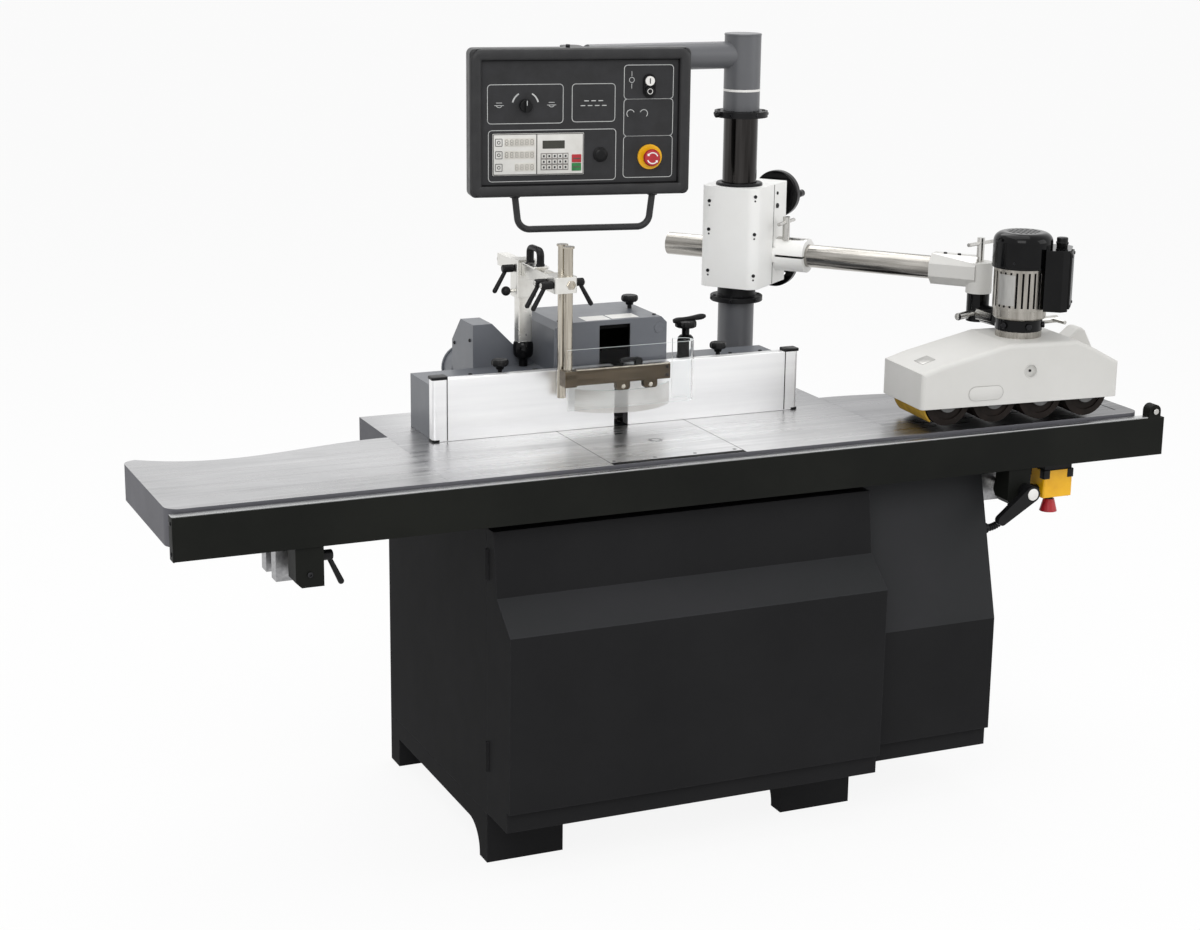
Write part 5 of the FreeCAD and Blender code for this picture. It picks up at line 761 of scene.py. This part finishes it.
def keypad():
    pad = Piece("keypad_unit", "panel", "keypad", "keypad", "window", "digit", "lcd", "red", "green",
                "grey_plastic", "key_field", at=PANEL_FACE)
    pad.slab(-209, 8, -121, -24, -0.1, 3, 2, 0.8)
    for u0, u1 in ((-206, -106), (-103, 5)):
        pad.slab(u0, u1, -118, -27, 2.5, 4, 1.5, 0.5)
    pad.outline(-208, 7, -120, -25, 2, 1.5, 2.8, 3.3, 6)
    pad.slab(-105.4, -103.6, -119, -26, 2.8, 3.4, 0.3, 0.1, 6)
    pad.slab(-95.5, -29, -110, -70, 3.6, 4.1, 1, 0.1, 7)
    for row in range(3):
        w = -44 - row * READOUT_PITCH
        digits = 6 if row < 2 else 4
        pad.slab(-109 - digits * DIGIT_PITCH, -109, w - 9.5, w + 9.5, 3.6, 4.5, 1, 0.3, 1)
        for i in range(digits):
            seven_segments(pad, -116 - i * DIGIT_PITCH, w, 2)
        pad.outline(-203, -186, w - 9, w + 9, 2, 1.3, 3.6, 4.6, 6)
        pad.outline(-198.5, -190.5, w - 4, w + 4, 3.9, 1.4, 3.6, 4.6, 6)
    pad.slab(-91, -38, -60, -41, 3.6, 4.3, 1, 0.3, 3)
    for row in range(3):
        for column in range(5):
            u = -88 + column * KEY_PITCH
            w = -77 - row * KEY_PITCH
            pad.slab(u - 5, u + 5, w - 4.6, w + 4.6, 3.6, 5.4, 1.2, 0.5)
            pad.slab(u - 2.2, u + 2.2, w - 2.6, w + 2.6, 5.2, 5.6, 0.5, 0.1, 6)
    for v0, v1, line, key in ((-92.5, -74, -85, 4), (-112, -94, -104.5, 5)):
        pad.slab(-21, 1.5, v0, v1, 3.6, 5.6, 1.2, 0.6, key)
        pad.slab(-18, -1.5, line, line + 3, 5.4, 5.8, 0.4, 0.1, 2)
    pad.done("panel_keypad")


def panel_buttons():
    bezel = Piece("switch_bezel", "panel", "black_plastic", "black_plastic", "button_white", at=PANEL_FACE)
    bezel.outline(150.5, 177.5, 56, 108, 13.4, 2.2, -0.1, 6)
    bezel.outline(148.5, 179.5, 54, 110, 15.4, 2, -0.1, 1.6)
    bezel.band((164, 70), 6, 1.3, 0, 359.9, 9.9, 10.4, 1)
    bezel.done()
    mark = Piece("start_mark", "start_button", "black_plastic", "grey_plastic", at=PANEL_FACE)
    mark.slab(162.8, 165.2, 88, 100, 9.8, 10.5, 0.5, 0.1)
    mark.done()
    mark = Piece("selector_line", "selector", "white_plastic", "print", at=PANEL_FACE)
    mark.slab(-131.9, -130.1, 42, 53, 20.5, 21.4, 0.4, 0.1)
    mark.done()
    plug = Piece("panel_plug", "panel", "black_plastic", "black_plastic", at=PANEL_FACE)
    plug.lathe([(17.5, -0.1), (17.5, 2), (16.2, 3.2), (14.6, 3.6), (13.6, 6.6), (11.6, 8), (7, 8.6),
                (0.2, 8.7)], PANEL_PLUG, Z)
    plug.done()


def stop_mushroom():
    stop = Piece("stop_mushroom", "panel_stop", "red_plastic", "red", "button_white", at=PANEL_FACE)
    stop.lathe([(9, -11.9), (9, 14), (12.5, 16), (17, 17), (19.2, 18.4), (20, 21), (20, 25),
                (19.3, 28), (17.6, 30.2), (14, 31.4), (8, 31.9), (0.2, 32)], (*PANEL_STOP, 0), Z)
    arrows = 12.6
    for turn in (20, 200):
        stop.band(PANEL_STOP, arrows, 2.6, turn, turn + 110, 30.8, 32, 1)
        tip = Matrix.Translation((*PANEL_STOP, 0)) @ Matrix.Translation(around(turn + 122) * arrows)
        stop.slab(-2.6, 2.6, -2.6, 2.6, 30.8, 32, 0.6, 0.2, 1,
                  tip @ Matrix.Rotation(math.radians(turn + 167), 4, "Z"))
    stop.done("panel_stop_button")


def panel_frame():
    grab = Piece("panel_grab", "panel", "black_plastic", "frame", at=PANEL_FACE)
    line = [(-153, -169.5), (-150, -195)]
    line += arc((-117, -220), 30, range(184, 276, 6)) + arc((143, -220), 30, range(268, 360, 6))
    line += [(176, -195), (179, -169.5)]
    grab.tube([(u, w, HANDLE_DEEP) for u, w in line], 8, count=24)
    grab.done("panel_handle", sharp=60)
    bead = Piece("panel_bead", "panel", "black_plastic", "frame", "dark_joint_and_shade", at=PANEL_FACE)
    bead.bead(249, 157, 13.4, 12.6, 5.5, 9.4)
    # painted shade: a thin near-black bead along the frame's inner crease
    bead.bead(235.4, 143.4, 3, 1.4, 0.9, 0.4, 1)
    bead.done(sharp=60)
    trim = Piece("panel_trim", "panel", "black_metal", "screw", at=PANEL_FACE)
    trim.rod((-28, 170.5, -16), (-28, 178, -16), 5, soft=1)
    for u in (-153, 179):
        trim.rod((u, -175, HANDLE_DEEP), (u, -170.8, HANDLE_DEEP), 12, soft=1.2)
    trim.done()


def clamp_knob(piece, x, y, z, lift=0):
    head = [(8.6, 8.4), (9.4, 12), (10.5, 15), (16.4, 16), (19.4, 18.5), (20, 22), (20, 26), (19.2, 29),
            (17, 31), (12, 31.9), (10, 31.2), (0.3, 31)]
    profile = [(5, 0), (5, 8 + lift)] + [(r, h + lift) for r, h in head]
    piece.lathe(profile, (x, y, z), Z, count=96, waves=10, depth=0.07)


def knobs():
    piece = Piece("knob_set", "carriage", "black_plastic", "black_plastic", "gloss")
    clamp_knob(piece, -275, 16, DECK_TOP, 9)
    clamp_knob(piece, 275, 16, DECK_TOP, 9)
    clamp_knob(piece, 92, 120, HOOD_TOP)
    piece.lathe([(21.5, 0), (21.5, 5), (20, 6), (20, 40), (18, 48), (13, 53), (9, 54),
                 (9, 70), (0.3, 70.2)], ADJUSTER, Z, 1)
    piece.lathe([(10, 70.4), (22, 71.5), (25.4, 74), (26, 78), (26, 83), (24.4, 86.4),
                 (20, 88), (8, 88.4), (0.3, 88.4)], ADJUSTER, Z, 0, 96, 14, 0.05)
    radii = [5, 6.6, 7, 6.6, 6, 5.6, 5.5, 5.6, 5.9, 6.3, 6.8, 7.2, 7.2, 6.4, 4]
    lever = [Vector(ADJUSTER) + Vector((-32 + i * 5.9, 0, 88 + i / 2)) for i in range(len(radii))]
    piece.tube(lever, radii)
    piece.done("clamp_knobs")


def fence_details():
    ends = ((421, 459.5, -46, -14.5, 1041.2, 1048, 5, 1.2), (422.4, 424.4, -45, -43.6, 902, 1042, 0.4, 0.2),
            (440, 459, -45.2, -15.2, 900.4, 905, 5, 0.6))
    for side, name in ((-1, "left"), (1, "right")):
        trim = Piece("fence_trim_" + name, "fence_" + name, "black_plastic", "black_plastic")
        for near, far, *rest in ends:
            trim.slab(*sorted((side * near, side * far)), *rest)
        trim.done()
        caps = Piece("fence_line_" + name, "fence_" + name, "fence_alu", "fence")
        caps.slab(*sorted((side * 19, side * 421)), -41.5, -19, 1040.9, 1041.9, 1, 0.4)
        caps.done()


def hood_details():
    piece = Piece("hood_screws", "carriage", "black_metal", "screw", "black_plastic", "button_white")
    for x in (-128, 112):
        for y in (26, 176):
            piece.socket_screw((x, y, HOOD_TOP - 0.4), Z, 4.2)
    for x in (-410, -330, 330, 410):
        piece.socket_screw((x, 60, DECK_TOP - 0.4), Z, 4.5)
    for u0, u1, v0, v1 in ((-67, -5, 8, 56), (0, 68, 13, 58)):
        piece.slab(u0, u1, v0, v1, HOOD_TOP - 0.2, HOOD_TOP + 0.4, 2, 0.2, 2)
    piece.slab(-176, -164, -6, 68, DECK_TOP - 0.8, DECK_TOP + 0.4, 2, 0.3, 1)
    piece.done()
    seam = Piece("chute_seams", "carriage", "hood_paint", "hood", "screw")
    for z in (940, 1085):
        seam.socket_screw((-300.2, 142, z), -X, 4, 1)
        seam.socket_screw((-300.2, 245, z - 25), -X, 4, 1)
    seam.lathe([(53, 0), (54, 1), (54, 5), (53, 6), (50.2, 6), (50.2, 0)],
               (-252.5, 316, 985), Y, hollow=True)
    seam.done()


def guard_post_boot():
    post = Piece("guard_post_boot", "carriage", "grey_paint", "beam", "gloss")
    post.slab(-200, -166, 91, 119, 1062, 1220, 2.5, 0.6)
    post.lathe([(10, 0), (10, 14), (13, 19), (20, 23), (22.6, 28), (23.4, 36), (23.4, 50),
                (22.4, 56), (19.5, 59.5), (14, 60.5), (0.3, 60.6)], (POST_X, 105, DECK_TOP), Z, 1, 48)
    post.done("guard_post")


def guard_beam_trim():
    arch = Piece("beam_arch", "guard_beam", "black_plastic", "black_plastic", "beam")
    arch.slab(-202, -164, -6, 70, 1268, 1273, 3, 0.8, 1)
    line = [(1.5, 1272.5), (1.5, 1295)]
    line += arc((14.5, 1296), 13, range(174, 84, -12)) + arc((50.5, 1296), 13, range(90, 0, -12))
    line += [(63.5, 1295), (63.5, 1272.5)]
    wide = Matrix.Translation((POST_X, 0, 0)) @ Matrix.Scale(1.4, 4, X)
    arch.tube([(0, y, z) for y, z in line], 6.4, at=wide)
    for y in (3, 62):
        arch.slab(-192, -174, y - 6.8, y + 6.8, 1272.6, 1278, 3, 1.2)
    arch.done("beam_handle")
    caps = Piece("rod_lever_screws", "guard_beam", "bright_steel", "steel", "screw", "nickel")
    button = [(6, 0), (6, 1.2), (5, 1.8), (0.2, 1.8)]
    for y in (-66, -102):
        caps.lathe(button, (-223.9, y, 1249), -X)
    caps.lathe([(11, 0), (11, 2.2), (9.8, 3), (5.5, 3), (5.2, 1.6), (0.2, 1.6)],
               (-158, -118, 1249), -Y, 2, 6)
    caps.lathe(button, (-114.1, -84, 1249), X)
    for y in (20, 50):
        for dx in (-15, 15):
            caps.socket_screw((POST_X + dx, y, 1273), Z, 3, 1)
    caps.lathe([(13.5, 0), (13.5, 2), (12, 3), (0.3, 3)], (POST_X, 236, 1254), Y)
    caps.done()


def press_trim():
    bar = Piece("press_details", "rod_right", "bright_steel", "nickel", "screw", "black_plastic")
    bar.slab(-140, 92, -109.5, -94.8, 1051.6, 1055, 0.6, 0.4)
    for z in (1027, 1045):
        bar.socket_screw((84, -109.2, z), -Y, 3.4, 1)
    for x in (-25, 43):
        bar.lathe([(5, 0), (5, 1.4), (4, 2), (0.2, 2)], (x, -109, 1008), -Y)
    bar.tube([(-30 + i * 8, -102, 1066 + 2.2 * math.sin(i * 0.5)) for i in range(7)],
             [4, 5.2, 5, 4.4, 4.4, 4.8, 5.2], 2)
    bar.done()


def column_lines():
    sleeve = Piece("sleeve_line", "panel_arm", "white_plastic", "button_white", "column")
    sleeve.lathe([(44.4, 0), (44.9, 0.4), (44.9, 5.6), (44.4, 6)], (*COLUMN, 1619), Z, hollow=True)
    sleeve.lathe([(44, 0), (45.4, 0.6), (45.4, 3), (43, 4.6), (0.3, 5)], (*COLUMN, 1752.4), Z, 1, 48)
    sleeve.done()


def collar_screws():
    screws = Piece("collar_screws", "machine", "black_metal", "screw", "black_plastic")
    at = Vector(COLLAR)
    for i in range(6):
        way = around(-140 + 60 * i)
        screws.socket_screw(at + way * 64.8, way, 3.4)
        screws.socket_screw(at + way * 54.5 + Z * 7.3, Z, 4)
    left = Vector((-0.985, -0.174, 0))
    screws.rod(at + left * 64.5, at + left * 71, 3.2, mat=1)
    screws.lathe([(3, 0), (6, 1), (7.2, 4), (6.8, 7), (4.6, 9.4), (0.3, 10.2)], at + left * 69, left, 1)
    for sx in (-1, 1):
        screws.socket_screw((COLUMN[0] + sx * 62, 352, TABLE_TOP), Z, 7)
    screws.done()


def lift_collar_ring():
    low = Piece("lift_collar_ring", "lift_collar", "black_metal", "screw", "black_metal")
    low.lathe([(42.2, 0.2), (64, 0.2), (65, 1.2), (65, 12), (64, 13), (49, 13.4), (47, 15.4),
               (47, 38.6), (42.2, 38.6)], (*COLUMN, 1104), Z, 1, 48, hollow=True)
    for i in range(6):
        way = around(-130 + 60 * i)
        low.socket_screw(Vector((*COLUMN, 1110.6)) + way * 64.8, way, 3.4)
        low.socket_screw(Vector((*COLUMN, 1117)) + way * 56.5, Z, 3.6)
    low.done("lift_collar")


def stand_details():
    piece = Piece("stand_screws", "stand", "black_metal", "screw", "black_metal", at=STAND_AT)
    pin = [(2.4, 0), (2, 0.5), (0.2, 0.5)]
    for z in (1355, 1285, 1183):
        piece.socket_screw((-50, -63.8, z), -Y, 4.2)
        piece.lathe(pin, (-50, -64, z - 11), -Y)
    diagonal = (X - Y).normalized()
    at = Vector((50, -38, 0)) + diagonal * 26
    for z in (1372, 1280, 1178):
        piece.socket_screw(at + Z * z - diagonal * 0.3, diagonal, 4.2)
        piece.lathe(pin, at + Z * (z - 11), diagonal)
    piece.socket_screw((75.8, 62, 1337), X, 6)
    piece.socket_screw((75.8, 62, 1368), X, 4)
    piece.lathe([(56, 0), (57, 1), (57, 6), (55, 8), (46, 8.6), (44, 8), (43, 0)],
                (0, 0, 1390), Z, 1, hollow=True)
    piece.done()


def wheel_hubs():
    for name, body, z in (("upper_wheel_hub", "lift_handwheel", 1352),
                          ("lower_wheel_hub", "arm_handwheel", 1176)):
        hub = Piece(name, body, "black_plastic", "gloss", at=STAND_AT)
        hub.lathe([(18, 0), (20, 2), (19, 8), (14, 11), (7, 12), (0.3, 12)], (34, 173.5, z), Y)
        hub.lathe([(7.2, 0), (9, 4), (9.4, 12), (8.6, 22), (9.2, 28), (6.4, 32.4), (0.3, 33)],
                  (84, 173.6, z), Y)
        hub.done()


def elbow_details():
    piece = Piece("elbow_screws", "arm", "black_metal", "screw", at=STAND_AT)
    for u in (510, 545):
        piece.socket_screw((u, 80, 1252.6), Z, 4.4)
    piece.done()
    clamp = Piece("clamp_bolts", "swivel", "bright_steel", "screw")
    middle = MOTOR_AT @ Vector((0, 0, 1118))
    for turn in (-160, -100, -40):
        way = around(turn)
        clamp.lathe([(8, 0), (8, 5), (7, 6), (0.2, 6)], middle + way * 54.6, way, count=6)
    clamp.done()


def feeder_trim():
    piece = Piece("feeder_trim", "feeder", "white_paint", "white", "screw", "plate", "brush", at=FEED_AT)
    piece.socket_screw((265, 5.8, 1024), -Y, 3.2, 1)
    lug = [(424, 1058), (424, 1068), (450, 1090), (457, 1093), (466, 1092), (472, 1087), (497, 1040),
           (497, 1030)]
    middle = Vector((460, 1060))
    slices = []
    for y, share in ((112, 0.9), (114, 0.97), (118, 1), (156, 1), (160, 0.97), (162, 0.9)):
        slices.append([(p.x, y, p.y) for p in (middle + (Vector(q) - middle) * share for q in lug)])
    piece.loft(slices)
    piece.outline(-16.5, 16.5, -16.5, 16.5, 16.4, 2, -0.2, 1.2, 0, basis((265, 0.2, 1024), -Y))
    plate = Matrix.Translation((18, 62, 1042.6)) @ Matrix.Rotation(math.radians(-17.2), 4, "Y")
    piece.slab(-2, 32, 0, 44, -0.4, 0.6, 1, 0.2, 2, plate)
    front = Matrix.Rotation(math.radians(90), 4, "X")
    piece.slab(105, 195, 962, 996, 0, 0.9, 16.9, 0.3, 0, front)
    piece.outline(105, 195, 962, 996, 16.9, 0.9, 0.7, 1.2, 2, front)
    for a in range(186, 226, 5):
        edge = arc((62, 960), 63, (a, a + 5)) + arc((62, 960), 59, (a + 5, a))
        piece.loft([[(x, y, z) for x, z in edge] for y in (20, 170)], 3)
    piece.done()


def motor_trim():
    motor = Piece("motor_trim", "feeder", "motor_alloy", "plate", "screw", "black_plastic", "gloss",
                  at=MOTOR_AT)
    axis = (0, 0)
    step = math.degrees(0.085)
    for i in range(8):
        a = -151 + step * (i - 4)
        edge = arc(axis, 64.2, [a]) + arc(axis, 66, (a, a + step)) + arc(axis, 64.2, [a + step])
        motor.loft([[(x, y, z) for x, y in edge] for z in (1168, 1240)])
    box = Matrix.Rotation(math.radians(-35), 4, "Z")
    lid = box @ Matrix.Translation((111.6, 0, 1228)) @ Matrix.Rotation(math.radians(90), 4, "Y")
    motor.slab(-66, 66, -36, 36, 0, 5, 6, 1.5, 2, lid)
    for u in (-58, 58):
        for v in (-29, 29):
            motor.socket_screw(lid @ Vector((u, v, 4.6)), box @ X, 3.4, 1)
    gland = box @ Vector((88, 18, 0))
    motor.rod(gland + Z * 1299.5, gland + Z * 1322, 13, mat=2, soft=1.6)
    motor.rod(gland + Z * 1306, gland + Z * 1312, 15, mat=2, soft=1, count=8)
    motor.lathe([(67, 0), (69.8, 1), (70.2, 3), (69.8, 5), (68, 6)], (0, 0, 1252.4), Z, 3, 48)
    for turn in (45, 135, 225, 315):
        way = around(turn)
        motor.socket_screw(way * 69 + Z * 1268, way, 3.2, 1)
    motor.done()


def rail_details():
    piece = Piece("rail_trim", "rail", "black_metal", "rail", "screw", "steel")
    piece.slab(-1128.6, -1125, -396, -367.5, 798.4, 890.6, 1, 0.6)
    for z in (812, 876):
        piece.socket_screw((-1128.2, -381.5, z), -X, 4, 1)
        piece.socket_screw((1260.6, -381.5, z), X, 4, 1)
    piece.lathe([(7, 0), (7, 1.6), (6, 2.4), (0.2, 2.4)], (1234, -397.6, 906), -Y, 2)
    piece.socket_screw((-847, -389.8, 740), -Y, 6, 1)
    piece.done()
    knob = Piece("big_lever_cap", "rail_lever_right", "white_plastic", "button_white")
    knob.lathe([(14, 0), (14, 1.2), (12.6, 2.6), (7, 3.4), (0.3, 3.6)], (881, -424.2, 744), -Y)
    knob.done()


def cabinet_trim():
    piece = Piece("cabinet_screws", "machine", "black_metal", "screw", "cabinet")
    for x in (-400, -200, 0, 200, 400):
        for z in (170, 480, 780):
            if abs(x) > 100 or z > 300:
                piece.socket_screw((x, CABINET_BACK, z), Y, 5)
    behind = Matrix(((-1, 0, 0, 0), (0, 0, 1, CABINET_BACK), (0, 1, 0, 0), (0, 0, 0, 1)))
    for z in range(560, 740, 20):
        piece.slab(-120, 120, z - 5, z + 5, 0, 6, 3, 2.4, 1, behind)
    for x in (-343, 392):
        for y in (-293, 324):
            piece.lathe([(15, 0), (15, 2), (9, 2.2), (9, 9), (8, 10), (0.3, 10)], (x, y, 116), Z)
    piece.done()


def insert_trim():
    plug = Piece("insert_plug", "machine", "ground_iron", "machined", "screw", "dark_joint_and_shade")
    plug.lathe([(15.8, -1.9), (15.8, 0.1), (15.2, 0.3), (9, 0.3), (8.6, -0.3), (0.2, -0.3)],
               (17, -196, TABLE_TOP), Z)
    for x in (-146, -48.7, 48.7, 146):
        plug.lathe([(4.7, -1.9), (4.7, -0.4), (2.4, -0.4), (2.3, -1.6), (0.2, -1.6)],
                   (x, -334, TABLE_TOP), Z, 1, 24)
    for x in (-160.25, 160.25):
        plug.slab(x - 0.9, x + 0.9, -352, 150, 898.6, 900.12, 0.2, 0.05, 1)
    plug.slab(-160, 160, -365.6, -348.3, 898.4, 900.2, 0.2, 0.1, 2)
    plug.done()


def stop_box_trim():
    box = Piece("stop_box_trim", "machine", "black_plastic", "black_plastic", "screw")
    for x in (STOP_BOX[0] - 33, STOP_BOX[0] + 33):
        for y in (STOP_BOX[1] - 26, STOP_BOX[1] + 26):
            box.slab(x - 9, x + 9, y - 9, y + 9, 752, 773, 2, 0.8)
            box.socket_screw((x, y, 705.8), -Z, 3, 1)
    box.lathe([(15, 0), (15, 6), (13, 8), (10.7, 8), (10.7, 0)], (950.5, -318, 722), -X, hollow=True)
    box.lathe([(16, 0), (16, 3), (14, 4), (11, 4)], (*STOP_BOX, 706.2), -Z)
    box.done()


# Floor, soft light and white surround
def seen_directly(tree):
    """A share that is one for camera, mirror and glass rays."""
    rays = tree.nodes.new("ShaderNodeLightPath").outputs
    total = rays["Is Camera Ray"]
    for name in ("Is Glossy Ray", "Is Transmission Ray"):
        either = add_node(tree, "ShaderNodeMath", {0: total, 1: rays[name]}, operation="MAXIMUM")
        total = either.outputs[0]
    return total


def show_mixed(tree, share, first, second, end):
    """Mixes two shaders into the tree's output."""
    mix = add_node(tree, "ShaderNodeMixShader", {0: share, 1: first.outputs[0], 2: second.outputs[0]})
    tree.links.new(mix.outputs[0], tree.nodes[end].inputs["Surface"])


def surround():
    world = bpy.data.worlds.new("studio")
    SCENE.world = world
    world.use_nodes = True
    tree = world.node_tree
    light = tree.nodes["Background"]
    light.inputs["Color"].default_value = WHITE
    light.inputs["Strength"].default_value = SKY
    white = add_node(tree, "ShaderNodeBackground", {"Color": WHITE, "Strength": 1.0})
    show_mixed(tree, seen_directly(tree), light, white, "World Output")


def ground_floor():
    data = bpy.data.meshes.new("floor")
    mesh = bmesh.new()
    bmesh.ops.create_circle(mesh, cap_ends=True, segments=64, radius=FLOOR_R)
    mesh.to_mesh(data)
    mesh.free()
    floor = bpy.data.objects.new("floor", data)
    SCENE.collection.objects.link(floor)
    material = bpy.data.materials.new("pale_floor")
    material.use_nodes = True
    tree = material.node_tree
    shader = tree.nodes["Principled BSDF"]
    shader.inputs["Base Color"].default_value = (0.9, 0.9, 0.9, 1.0)
    shader.inputs["Roughness"].default_value = 0.8
    glow = add_node(tree, "ShaderNodeEmission", {"Strength": 1.0})
    share = add_node(tree, "ShaderNodeMath", {0: seen_directly(tree), 1: FLOOR_WHITE}, operation="MULTIPLY")
    show_mixed(tree, share.outputs[0], shader, glow, "Material Output")
    data.materials.append(material)


def lamps():
    for name, place, size, power in LAMPS:
        lamp = bpy.data.lights.new(name, "AREA")
        lamp.shape = "SQUARE"
        lamp.size = size
        lamp.energy = power
        holder = bpy.data.objects.new(name, lamp)
        holder.location = place
        holder.rotation_euler = (LAMP_TARGET - Vector(place)).to_track_quat("-Z", "Y").to_euler()
        SCENE.collection.objects.link(holder)


MAKERS = (make_camera, conduit, cad_looks, panel_signs, keypad, panel_buttons, stop_mushroom, panel_frame,
          knobs, fence_details, hood_details, guard_post_boot, guard_beam_trim, press_trim, column_lines,
          collar_screws, lift_collar_ring, stand_details, wheel_hubs, elbow_details, feeder_trim,
          motor_trim, rail_details, cabinet_trim, insert_trim, stop_box_trim, surround, ground_floor, lamps)
for make in MAKERS:
    make()
SCENE.view_settings.view_transform = "Standard"
